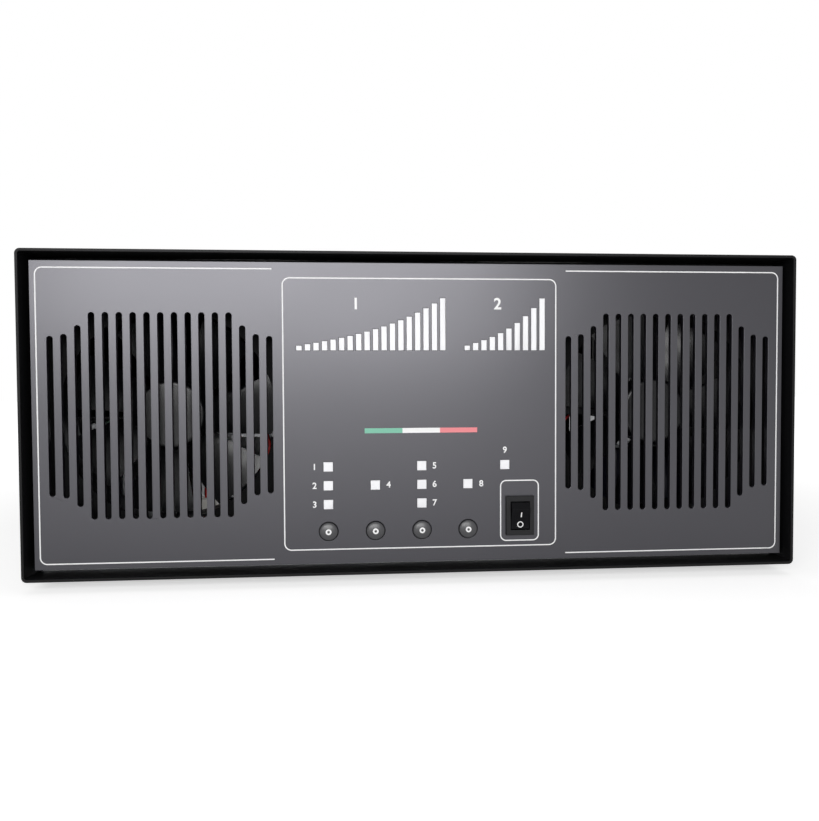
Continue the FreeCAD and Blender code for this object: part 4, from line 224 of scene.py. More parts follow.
def make_finish(name, colour, roughness, metallic=0.0, grain=None, wander=0.0,
                stretch=(1.0, 1.0, 1.0), specular=0.5, tint=(1.0, 1.0, 1.0)):
    """A plain colour, with a grain in relief and a roughness that wanders if stated.
    The grain's width and height are in millimetres; brushing stretches it along an axis."""
    made = bpy.data.materials.new(name)
    made.use_nodes = True
    made.diffuse_color = colour
    tree = made.node_tree
    shader = tree.nodes["Principled BSDF"]
    fill(shader, Base_Color=colour, Roughness=roughness, Metallic=metallic,
         Specular_IOR_Level=specular, Specular_Tint=(*tint, 1.0))
    if grain or wander:
        place = add_node(tree, "TexCoord")
        turn = add_node(tree, "Mapping", Scale=stretch)
        join(place, "Object", turn, "Vector")
    if grain:
        width, height = mm(*grain)
        noise = add_node(tree, "TexNoise", Scale=1.0 / width, Detail=2.0)
        bump = add_node(tree, "Bump", Distance=height)
        join(turn, "Vector", noise, "Vector")
        join(noise, "Fac", bump, "Height")
        join(bump, "Normal", shader, "Normal")
    if wander:
        broad = add_node(tree, "TexNoise", Scale=22.0, Detail=3.0)
        spread = add_node(tree, "MapRange", To_Min=roughness - wander,
                          To_Max=roughness + wander)
        join(turn, "Vector", broad, "Vector")
        join(broad, "Fac", spread, "Value")
        join(spread, "Result", shader, "Roughness")
    return made


# ---------------- mesh helpers


def put_in_scene(name, data):
    """An object that shows a mesh, a curve, a lamp or a camera."""
    made = bpy.data.objects.new(name, data)
    bpy.context.scene.collection.objects.link(made)
    return made


def keep_shape(name, bm, paint, body=CHASSIS, node=None, slot=None):
    """Makes a piece of a bmesh that already lies in its place."""
    bmesh.ops.recalc_face_normals(bm, faces=bm.faces)
    mesh = bpy.data.meshes.new(name)
    bm.to_mesh(mesh)
    bm.free()
    mesh.shade_smooth()
    mesh.set_sharp_from_angle(angle=SHARP)
    mesh.materials.append(finish(paint))
    piece = put_in_scene(name, mesh)
    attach(piece, body)
    if node:
        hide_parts(node)
    slot = slot or FINISHES[paint][0]
    return piece


def merged_copy(node):
    """A bmesh of a CAD node with its loose triangles joined up."""
    bm = bmesh.new()
    bm.from_mesh(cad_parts[node].data)
    bmesh.ops.remove_doubles(bm, verts=bm.verts, dist=0.002 * MM)
    bmesh.ops.dissolve_limit(bm, angle_limit=math.radians(0.5), verts=bm.verts,
                             edges=bm.edges, delimit={"NORMAL"})
    return bm


def linked_groups(bm):
    """The vertices of each separate solid in a bmesh."""
    left, groups = dict.fromkeys(bm.verts), []
    while left:
        group = [left.popitem()[0]]
        for vert in group:
            for edge in vert.link_edges:
                other = edge.other_vert(vert)
                if other in left:
                    del left[other]
                    group.append(other)
        groups.append(group)
    return groups


def span(group):
    """The low and the high corner of some vertices."""
    return [Vector([pick(vert.co[axis] for vert in group) for axis in range(3)])
            for pick in (min, max)]


def solids(node):
    """Low and high corner of each separate solid in a CAD node, in a steady order."""
    bm = merged_copy(node)
    spans = sorted((span(group) for group in linked_groups(bm)), key=lambda ends: tuple(ends[0]))
    bm.free()
    return spans


def dress(node, paint, edge=0.0, segments=1, body=CHASSIS, slot=None):
    """Puts a copy in a CAD node's place, with crisp edges rounded where an edge is stated."""
    piece = keep_shape(node + "_skin", merged_copy(node), paint, body, node, slot)
    if edge:
        set_up(piece.modifiers.new("soft edges", "BEVEL"), width=edge, segments=segments,
               limit_method="ANGLE", angle_limit=SHARP, harden_normals=True,
               use_clamp_overlap=False)


def add_copy(bm, other, place=NO_TURN):
    """Adds another bmesh, moved to its place; the other one is used up."""
    mesh = bpy.data.meshes.new("pattern")
    other.to_mesh(mesh)
    other.free()
    mesh.transform(place)
    bm.from_mesh(mesh)
    bpy.data.meshes.remove(mesh)


def add_block(bm, at, size, bevel=0.0, turn=NO_TURN):
    """A block about a point, with softened edges where a bevel is stated."""
    place = Matrix.Translation(at) @ turn @ Matrix.Diagonal((*size, 1.0))
    made = bmesh.ops.create_cube(bm, size=1.0, matrix=place)
    if bevel:
        edges = dict.fromkeys(edge for vert in made["verts"] for edge in vert.link_edges)
        bmesh.ops.bevel(bm, geom=list(edges), offset=bevel, segments=2, affect="EDGES",
                        profile=0.5, material=-1, clamp_overlap=True)


def add_spun(bm, profile, at=(0, 0, 0), turn=NO_TURN, segments=32):
    """A shape of revolution from (radius, height) points, about the turned Z axis."""
    made = bmesh.new()
    verts = [made.verts.new((radius, 0.0, height)) for radius, height in profile]
    edges = [made.edges.new(pair) for pair in zip(verts, verts[1:])]
    bmesh.ops.spin(made, geom=verts + edges, cent=(0, 0, 0), axis=(0, 0, 1),
                   angle=math.tau, steps=segments, use_merge=True, use_duplicate=False)
    bmesh.ops.remove_doubles(made, verts=made.verts, dist=0.0001 * MM)
    bmesh.ops.recalc_face_normals(made, faces=made.faces)
    add_copy(bm, made, Matrix.Translation(at) @ turn)


def add_thread(bm, start, radius, pitch, length):
    """Fine ridges that stand a little out of a rod to the rear, as a screw thread does."""
    depth = 0.3 * pitch
    profile = [(radius - depth, 0.0)]
    for index in range(int(length / pitch)):
        profile += [(radius, index * pitch), (radius + depth, (index + 0.5) * pitch)]
    profile += [(radius - depth, int(length / pitch) * pitch), profile[0]]
    add_spun(bm, profile, start, AIM_BACK)


def shape_of(curve):
    """The bmesh that a curve or a text gives; the curve itself is dropped."""
    holder = put_in_scene(curve.name, curve)
    bpy.context.view_layer.update()
    mesh = bpy.data.meshes.new_from_object(holder)
    bpy.data.objects.remove(holder)
    bpy.data.curves.remove(curve)
    bm = bmesh.new()
    bm.from_mesh(mesh)
    bpy.data.meshes.remove(mesh)
    return bm


def add_wire(bm, points, radius, closed=False, roundness=1):
    """A round wire along points."""
    curve = set_up(bpy.data.curves.new("wire", "CURVE"), dimensions="3D", bevel_depth=radius,
                   bevel_resolution=roundness, use_fill_caps=True)
    spline = curve.splines.new("POLY")
    spline.points.add(len(points) - 1)
    for knot, point in zip(spline.points, points):
        knot.co = (*point, 1.0)
    spline.use_cyclic_u = closed
    wire = shape_of(curve)
    bmesh.ops.remove_doubles(wire, verts=wire.verts, dist=0.001 * MM)
    add_copy(bm, wire)


def wind(bm, outer, inner, width, wire, turns, place):
    """Wire that goes round and round the squarish section of a ring about the Z axis."""
    middle_radius, per_turn, arc = (outer + inner) / 2, 12, math.radians(325)
    reach, rise = (outer - inner) / 2 - wire, width / 2 - wire
    points = []
    for step in range(per_turn * turns + 1):
        around = math.tau * step / per_turn
        along = arc * step / (per_turn * turns)
        out, up = (math.copysign(abs(part) ** 0.5, part)
                   for part in (math.cos(around), math.sin(around)))
        radial = Vector((math.cos(along), math.sin(along), 0.0))
        points.append(place @ (radial * (middle_radius + reach * out)
                               + Vector((0, 0, rise * up))))
    add_wire(bm, points, wire)


def add_wound_rings(node, turn, bore, wire, turns):
    """Puts a core with its winding in the place of each ring in a node."""
    cores, wires = bmesh.new(), bmesh.new()
    for low, high in solids(node):
        size = high - low
        outer, width = max(size) / 2, min(size)
        inner = outer * bore
        place = Matrix.Translation(midpoint(low, high)) @ turn
        wind(wires, outer, inner, width, wire, turns, place)
        near, far, half = inner + 2 * wire, outer - 2 * wire, width / 2 - 2 * wire
        edge = 0.8 * MM
        section = [(near + edge, -half), (far - edge, -half), (far, edge - half),
                   (far, half - edge), (far - edge, half), (near + edge, half),
                   (near, half - edge), (near, edge - half), (near + edge, -half)]
        add_spun(cores, section, place.to_translation(), turn)
    keep_shape(node + "_cores", cores, "painted iron powder", node=node)
    keep_shape(node + "_wire", wires, "enamelled copper", node=node)


def add_chips(name, places, length=10.0, pairs=8):
    """Chips with two rows of legs; the board is the XY plane of each place."""
    length, width, height, leg, step = mm(length, 4.0, 1.5, 0.9, length / pairs)
    stand, sink = mm(0.1, 0.6)
    body, legs = bmesh.new(), bmesh.new()
    for place in places:
        turn = place.to_3x3().to_4x4()
        add_block(body, place @ Vector((0, 0, height / 2 + stand)), (length, width, height),
                  bevel=0.15 * MM, turn=turn)
        for index in range(pairs):
            for side in (-1, 1):
                at = Vector(((index + 0.5) * step - length / 2, side * (width + leg) / 2,
                             sink / 2))
                add_block(legs, place @ at, (0.4 * step, leg, sink), turn=turn)
    keep_shape(name, body, "dull black plastic")
    keep_shape(name.removesuffix("s") + "_legs", legs, "tinned metal")


def add_loop(bm, low, high, wire, reach, lift):
    """A turn of wire through both bores of a two-hole core between two corners."""
    centre, half, steps = midpoint(low, high), (high.x - low.x) / 4, 10
    points = []
    for end, y in ((1, high.y), (-1, low.y)):
        for step in range(steps + 1):
            angle = math.pi * step / steps
            points.append((centre.x + end * half * math.cos(angle),
                           y + end * reach * math.sin(angle), centre.z + lift))
    add_wire(bm, points, wire, closed=True, roundness=3)


def dress_leads(node, *words):
    """Gives the leads of a node their colours, in turn from the front to the rear."""
    bm = merged_copy(node)
    bm.verts.index_update()
    groups = sorted(linked_groups(bm), key=lambda group: (round(span(group)[1].y, 4),
                                                          round(span(group)[0].x, 4)))
    for index, (group, word) in enumerate(zip(groups, words)):
        kept = {vert.index for vert in group}
        lead = bm.copy()
        rest = [vert for vert in lead.verts if vert.index not in kept]
        bmesh.ops.delete(lead, geom=rest, context="VERTS")
        keep_shape(f"{node}_{index + 1}", lead, word + " sleeving", node=node)
    bm.free()


def raise_faces(bm, faces, height):
    """Draws copies of faces out along the Z axis."""
    made = bmesh.ops.extrude_face_region(bm, geom=faces)
    lifted = [item for item in made["geom"] if isinstance(item, bmesh.types.BMVert)]
    bmesh.ops.translate(bm, verts=lifted, vec=(0, 0, height))


def add_screw(bm, seat, turn, radius, height):
    """A button-head screw with a hexagon socket."""
    outline = ((1.0, 0.0), (1.0, 0.35), (0.82, 0.8), (0.55, 1.0))
    chamfer, flat, socket_depth = radius * 0.08, radius * 0.42, height * 0.6
    head = bmesh.new()
    add_spun(head, [(radius * out, height * up) for out, up in outline], segments=24)
    rim = [edge for edge in head.edges if edge.is_boundary and edge.verts[0].co.z > height / 2]
    top = bmesh.ops.edgeloop_fill(head, edges=rim)["faces"][0]
    bmesh.ops.inset_region(head, faces=[top], thickness=chamfer)
    for vert in top.verts:
        angle = math.atan2(vert.co.y, vert.co.x)
        reach = flat / math.cos((angle % (math.pi / 3)) - math.pi / 6)
        vert.co.x, vert.co.y = reach * math.cos(angle), reach * math.sin(angle)
    raise_faces(head, [top], -socket_depth)
    bmesh.ops.delete(head, geom=[top], context="FACES_ONLY")
    base = [edge for edge in head.edges if edge.is_boundary]
    bmesh.ops.edgeloop_fill(head, edges=base)
    add_copy(bm, head, Matrix.Translation(seat) @ turn)


def dress_screws(node, paint, depth, aim):
    """Puts screw heads in the place of a node's; aim turns each by where it is."""
    radius, bm = 2.9 * MM, bmesh.new()
    for low, high in solids(node):
        seat = midpoint(low, high)
        turn = aim(seat)
        out = turn.to_3x3() @ Vector((0, 0, 1))
        seat += out * (abs((high - low).dot(out)) / 2 - depth)
        add_screw(bm, seat, turn, radius, depth)
    keep_shape(node.removesuffix("s") + "_heads", bm, paint, node=node)


def cut(bm, at, normal, **more):
    """Cuts a bmesh along a plane."""
    bmesh.ops.bisect_plane(bm, geom=bm.verts[:] + bm.edges[:] + bm.faces[:], plane_co=at,
                           plane_no=normal, **more)


def ring_frame(bm, outline, line):
    """Faces of a flat frame round the origin: width, height and corner in millimetres."""
    width, height, radius = mm(*outline)
    made = bmesh.new()
    bmesh.ops.create_grid(made, x_segments=1, y_segments=1, size=0.5)
    bmesh.ops.scale(made, vec=(width + line, height + line, 1), verts=made.verts)
    bmesh.ops.bevel(made, geom=made.verts[:], offset=radius + line / 2, segments=8,
                    affect="VERTICES", profile=0.5, material=-1)
    inner = made.faces[:]
    bmesh.ops.inset_region(made, faces=inner, thickness=line, use_boundary=True)
    bmesh.ops.delete(made, geom=inner, context="FACES")
    add_copy(bm, made)


def raise_print(bm, place, height):
    """Gives a flat shape its height and lays it in its place."""
    raise_faces(bm, bm.faces[:], height)
    bmesh.ops.transform(bm, matrix=place, verts=bm.verts)


def wrap_print(bm, node, at, height):
    """Lays flat print on a CAD node's curved front."""
    raise_print(bm, NO_TURN, height)
    shape = merged_copy(node)
    tree = BVHTree.FromBMesh(shape)
    shape.free()
    sink, ahead = height / 3, 30 * MM
    for vert in bm.verts:
        x, z = at.x + vert.co.x, at.z + vert.co.y
        hit = tree.ray_cast(Vector((x, PANEL_FACE - ahead, z)), Vector((0, 1, 0)))[0]
        vert.co = (x, hit.y + sink - vert.co.z, z)


def add_figure(bm, text, height, place):
    """A printed figure, laid in its place."""
    filled, bold = 0.73, 0.03
    curve = set_up(bpy.data.curves.new("figure", "FONT"), body=text, size=height / filled,
                   align_x="CENTER", align_y="CENTER", offset=height * bold,
                   extrude=sizes().ink_height / 2, resolution_u=6)
    add_copy(bm, shape_of(curve), place)


# ---------------- the pieces


class AmplifierOperator:
    """What all the operators here share."""

    bl_options = {"REGISTER", "UNDO"}


class AMPLIFIER_OT_case(AmplifierOperator, Operator):
    """Dress the sleeve, the pan and rails inside it, and the feet"""

    bl_idname = "amplifier.case"
    bl_label = "Case and feet"

    def execute(self, context):
        dress("case_sleeve", "fine-textured case paint", sizes().soft_edge, segments=2)
        dress("chassis_pan", "galvanised sheet")
        dress("chassis_rails", "galvanised sheet")
        dress("front_bulkhead", "matt inner paint")
        dress("panel_spacers", "drawn aluminium", slot="spacer_metal")
        dress("rubber_feet", "black rubber", 0.4 * MM, segments=2)
        dress_screws("case_screws", "blackened steel", 1.7 * MM,
                     lambda at: AIM_RIGHT if at.x > 0 else AIM_LEFT)
        dress_screws("foot_screws", "zinc-plated steel", 1.7 * MM, lambda at: AIM_DOWN)
        return {"FINISHED"}


class AMPLIFIER_OT_front_panel(AmplifierOperator, Operator):
    """Dress the front panel and print its lines, stripe and figures"""

    bl_idname = "amplifier.front_panel"
    bl_label = "Front panel"

    bracket, bracket_gap = (398.6, 153.9, 3.5), 79.0
    centre_frame = (147.0, 144.6, 3.6)
    frames_drop = 0.3
    switch_frame, switch_middle = (20.9, 32.8, 3.0), (53.48, -53.4)
    stripe_left, stripe_middle = -30.6, -9.2
    stripe_width, stripe_height = 60.8, 2.65
    meter_figures, meter_figure_height = ((-34.9, 58.3), (41.5, 58.5)), 6.2
    window_figures = ((-57.5, -28.4), (-57.5, -38.5), (-57.5, -48.6), (-18.0, -38.4),
                      (6.9, -28.4), (6.9, -38.4), (6.9, -48.5), (32.4, -38.5), (45.4, -20.4))

    def execute(self, context):
        dress("front_panel", "satin panel paint", 0.2 * MM, segments=2)
        self.lines()
        self.stripe()
        self.figures()
        return {"FINISHED"}

    def lines(self):
        """The two brackets round the grilles, the frame between them and the switch's."""
        line, height = sizes().line_width, sizes().ink_height
        frames, switch = bmesh.new(), bmesh.new()
        ring_frame(frames, self.bracket, line)
        for side in (-1, 1):
            cut(frames, (side * self.bracket_gap * MM, 0, 0), (1, 0, 0))
        inner = [face for face in frames.faces
                 if abs(face.calc_center_median().x) < self.bracket_gap * MM]
        bmesh.ops.delete(frames, geom=inner, context="FACES")
        ring_frame(frames, self.centre_frame, line)
        raise_print(frames, on_panel(0, -self.frames_drop), height)
        ring_frame(switch, self.switch_frame, line)
        raise_print(switch, on_panel(*self.switch_middle), height)
        add_copy(frames, switch)
        keep_shape("panel_lines", frames, "white ink")

    def stripe(self):
        third, x = self.stripe_width / 3, self.stripe_left
        for word, paint in (("left", "green"), ("middle", "white"), ("right", "red")):
            bm = bmesh.new()
            add_block(bm, on_panel(x + third / 2, self.stripe_middle).to_translation(),
                      (third * MM, 2 * sizes().ink_height, self.stripe_height * MM))
            keep_shape("stripe_" + word, bm, paint + " ink")
            x += third

    def figures(self):
        """Plain numbers over the meters and beside the windows, each set from 1."""
        bm = bmesh.new()
        for height, spots in ((self.meter_figure_height * MM, self.meter_figures),
                              (sizes().figure_height, self.window_figures)):
            for index, spot in enumerate(spots):
                add_figure(bm, str(index + 1), height, on_panel(*spot))
        bmesh.ops.remove_doubles(bm, verts=bm.verts, dist=0.03 * MM)
        keep_shape("panel_figures", bm, "white ink")


class AMPLIFIER_OT_meters(AmplifierOperator, Operator):
    """Dress the milky windows, the board behind them and its parts"""

    bl_idname = "amplifier.meters"
    bl_label = "Meters and control board"

    chips = ((-45, 14), (-20, 14), (5, 14), (40, 14), (-8, -6), (22, -6))

    def execute(self, context):
        for node in ("power_meter_lens", "swr_meter_lens", "status_lens"):
            dress(node, "milky plastic", 0.06 * MM)
        dress("control_board", "green solder mask")
        dress("board_posts", "brass")
        dress("key_switches", "dull black plastic", 0.25 * MM)
        dress("board_leds", "white plastic", 0.15 * MM, slot="led_clear")
        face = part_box("control_board")[0].y
        back = Matrix.Translation((0, face - PANEL_FACE, 0))
        add_chips("control_chips", [back @ on_panel(x, z) for x, z in self.chips])
        return {"FINISHED"}


class AMPLIFIER_OT_buttons(AmplifierOperator, Operator):
    """Shape the domed push buttons and print the ring on each"""

    bl_idname = "amplifier.buttons"
    bl_label = "Push buttons"

    reach, rise = 4.9, 1.5
    collar_radius, collar_front, collar_back = 6.2, 5.3, 6.5
    stem_radius = 1.75
    ring_outer, ring_inner, ring_proud = 1.55, 0.7, 0.04

    def execute(self, context):
        for name in ("operate_button", "mode_button", "level_button", "preamp_button"):
            low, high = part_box(name)
            tip = midpoint(low, high, y=low.y)
            self.cap(name, tip, (high.y - tip.y) / MM)
            self.ring(name, tip)
        return {"FINISHED"}

    def dome(self, radius):
        """How far the cap has fallen away at a radius, both in millimetres."""
        fall = 1 - math.sqrt(max(0.0, 1 - (radius / self.reach) ** 2))
        return self.rise * fall ** 0.9

    def cap(self, name, tip, length):
        """The domed cap with its collar and its stem, turned from one outline."""
        steps = 10
        radii = [self.reach * math.sin(math.pi / 2 * step / steps) for step in range(steps + 1)]
        curve = [(radius, -self.dome(radius)) for radius in radii]
        curve += [(self.reach, -self.collar_front), (self.collar_radius, -self.collar_front),
                  (self.collar_radius, -self.collar_back), (self.stem_radius, -self.collar_back),
                  (self.stem_radius, -length), (0.0, -length)]
        bm = bmesh.new()
        add_spun(bm, [mm(*point) for point in curve], tip, AIM_FRONT, segments=48)
        keep_shape(name + "_cap", bm, "satin button plastic", name, name)

    def ring(self, name, tip):
        """A printed ring that follows the cap's top."""
        steps = 4
        radii = [self.ring_inner + (self.ring_outer - self.ring_inner) * step / steps
                 for step in range(steps + 1)]
        top = [(radius, self.ring_proud - self.dome(radius)) for radius in radii]
        under = [(radius, -self.ring_proud - self.dome(radius)) for radius in reversed(radii)]
        bm = bmesh.new()
        add_spun(bm, [mm(*point) for point in (*top, *under, top[0])], tip, AIM_FRONT,
                 segments=40)
        keep_shape(name + "_ring", bm, "white ink", name)


class AMPLIFIER_OT_rocker_switch(AmplifierOperator, Operator):
    """Shape the rocker switch and mark its two ends"""

    bl_idname = "amplifier.rocker_switch"
    bl_label = "Rocker switch"

    stroke = (0.6, 2.8)
    stroke_place, ring_place = (0.35, 0.75), (0.0, -4.75)
    ring_radius, ring_line = 1.45, 0.5

    def execute(self, context):
        dress("rocker_housing", "textured bezel plastic", 0.12 * MM, segments=2)
        dress("power_rocker", "black plastic", 0.25 * MM, segments=3, body="power_rocker")
        dress("switch_terminals", "brass")
        self.marks()
        return {"FINISHED"}

    def marks(self):
        """The stroke and the ring of a mains switch, laid on the rocker's saddle."""
        stroke, ring = bmesh.new(), bmesh.new()
        bmesh.ops.create_grid(stroke, x_segments=1, y_segments=8, size=0.5)
        bmesh.ops.scale(stroke, vec=(*mm(*self.stroke), 1), verts=stroke.verts)
        diameter = 2 * self.ring_radius
        ring_frame(ring, (diameter, diameter, self.ring_radius * 0.999), self.ring_line * MM)
        centre = midpoint(*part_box("rocker_housing"))
        for word, bm, (x, z) in (("stroke", stroke, self.stroke_place),
                                 ("ring", ring, self.ring_place)):
            at = centre + Vector((x * MM, 0, z * MM))
            wrap_print(bm, "power_rocker", at, 2 * sizes().ink_height)
            keep_shape("rocker_" + word, bm, "white ink", "power_rocker")


class AMPLIFIER_OT_fans(AmplifierOperator, Operator):
    """Dress both fans, their windings and their screws"""

    bl_idname = "amplifier.fans"
    bl_label = "Fans"

    def execute(self, context):
        for side in ("left", "right"):
            dress(side + "_fan_frame", "black fan plastic", 0.3 * MM)
            dress(side + "_fan_rotor", "glossy rotor plastic", body=side + "_rotor")
        dress("fan_stators", "enamelled copper")
        dress("fan_screws", "zinc-plated steel")
        return {"FINISHED"}


class AMPLIFIER_OT_leads(AmplifierOperator, Operator):
    """Colour the leads inside the case"""

    bl_idname = "amplifier.leads"
    bl_label = "Leads"

    def execute(self, context):
        dress_leads("fan_leads", "red", "black", "red", "black")
        dress_leads("supply_leads", "red", "black")
        dress_leads("coax_leads", "black", "black")
        dress_leads("mains_leads", "brown", "blue", "brown", "brown", "blue")
        return {"FINISHED"}


class AMPLIFIER_OT_power_module(AmplifierOperator, Operator):
    """Dress the heatsink and the amplifier board on it"""

    bl_idname = "amplifier.power_module"
    bl_label = "Power amplifier module"

    flange_proud, tab_thick, lid = 1.2, 0.2, (0.94, 0.7)
    tab_out, tab_apart, tab_long, tab_wide = 0.65, 0.17, 0.5, 0.26
    tube_radii = (6.2, 6.9)
    loops = (("output_transformer", 1.4, 5.5, 2.2), ("input_transformer", 0.6, 2.5, 1.0))
    capacitor = (2.0, 3.0, 1.2)
    row_behind, row_before = (9.0, 13), (-5.0, 9)
    chip_inset, chip_length, chip_pairs = 9.0, 5.0, 4

    def execute(self, context):
        dress("pa_heatsink", "drawn aluminium", 0.2 * MM)
        dress("pa_board", "green solder mask")
        self.transistors()
        dress("output_transformer", "ferrite", 0.6 * MM, segments=2)
        dress("input_transformer", "ferrite", 0.4 * MM, segments=2)
        dress("white_plugs", "white plastic", 0.3 * MM, slot="plug_white")
        self.windings()
        self.small_parts()
        return {"FINISHED"}

    def windings(self):
        """Brass tubes through the output core, and the wire of both transformers."""
        tubes, wires = bmesh.new(), bmesh.new()
        low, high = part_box("output_transformer")
        (inner, outer), length = mm(*self.tube_radii), high.y - low.y
        section = [(inner, 0), (outer, 0), (outer, length), (inner, length), (inner, 0)]
        for side in (-1, 1):
            start = midpoint(low, high, y=low.y)
            start.x += side * (high.x - low.x) / 4
            add_spun(tubes, section, start, AIM_BACK)
        for node, wire, reach, lift in self.loops:
            for side in (-1, 1):
                add_loop(wires, *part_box(node), *mm(wire, reach, side * lift))
        keep_shape("transformer_tubes", tubes, "brass")
        keep_shape("transformer_wire", wires, "white plastic")

    def small_parts(self):
        """Chip capacitors in a row behind and before the transistors, and two chips."""
        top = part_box("pa_board")[1].z
        low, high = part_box("power_transistors")
        bm = bmesh.new()
        size = mm(*self.capacitor)
        for y, (away, count) in ((high.y, self.row_behind), (low.y, self.row_before)):
            for index in range(count):
                x = low.x + (high.x - low.x) * (index + 0.5) / count
                add_block(bm, (x, y + away * MM, top + size[2] / 2), size)
        keep_shape("pa_chip_capacitors", bm, "tan ceramic")
        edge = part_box("pa_board")[0].x + self.chip_inset * MM
        turn = Matrix.Rotation(math.pi / 2, 4, "Z")
        places = [Matrix.Translation((edge, low.y + share * (high.y - low.y), top)) @ turn
                  for share in (0.25, 0.75)]
        add_chips("pa_chips", places, self.chip_length, self.chip_pairs)

    def transistors(self):
        """A gold flange with a ceramic lid and wide tabs on the board for each."""
        board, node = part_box("pa_board")[1].z, "power_transistors"
        top, thick = board + self.flange_proud * MM, self.tab_thick * MM
        flanges, lids = bmesh.new(), bmesh.new()
        for low, high in solids(node):
            size = high - low
            add_block(flanges, midpoint(low, high, z=(low.z + top) / 2),
                      (size.x, size.y, top - low.z), bevel=0.2 * MM)
            for side, step in ((-1, -1), (-1, 1), (1, -1), (1, 1)):
                tab = midpoint(low, high, z=board + thick / 2)
                tab.x += side * size.x * self.tab_out
                tab.y += step * size.y * self.tab_apart
                add_block(flanges, tab, (size.x * self.tab_long, size.y * self.tab_wide, thick))
            add_block(lids, midpoint(low, high, z=(top + high.z) / 2),
                      (size.x * self.lid[0], size.y * self.lid[1], high.z - top),
                      bevel=0.4 * MM)
        keep_shape("transistor_flanges", flanges, "gold plate", node=node)
        keep_shape("transistor_lids", lids, "white ceramic", node=node)


class AMPLIFIER_OT_filter_board(AmplifierOperator, Operator):
    """Dress the low-pass filter board with its coils and relays"""

    bl_idname = "amplifier.filter_board"
    bl_label = "Filter board"

    bore, wire = 0.44, 0.55
    capacitor = (6.0, 3.2, 7.0)
    chip_apart, chip_inset = mm(18.0, 9.0)

    def execute(self, context):
        dress("filter_board", "green solder mask")
        dress("inner_posts", "brass")
        add_wound_rings("filter_coils", AIM_FRONT, self.bore, self.wire * MM,
                        sizes().coil_turns)
        dress("filter_relays", "blue relay case", 0.6 * MM, segments=2)
        self.capacitors()
        low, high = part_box("filter_board")
        at = midpoint(low, high, y=low.y + self.chip_inset, z=high.z)
        add_chips("filter_chips", [Matrix.Translation(at + Vector((x, 0, 0)))
                                   for x in (-self.chip_apart, self.chip_apart)])
        return {"FINISHED"}

    def capacitors(self):
        """Dipped capacitors in the gaps between the rows of coils."""
        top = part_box("filter_board")[1].z
        width, depth, height = mm(*self.capacitor)
        coils = [midpoint(low, high) for low, high in solids("filter_coils")]
        rows = sorted({round(at.y, 4) for at in coils})
        bm = bmesh.new()
        for at in coils:
            for step in (-1, 0, 1):
                place = (at.x + step * 1.5 * width, at.y + (rows[1] - rows[0]) / 2,
                         top + height / 2)
                add_block(bm, place, (width, depth, height), bevel=0.9 * MM)
        keep_shape("filter_capacitors", bm, "dipped capacitor")


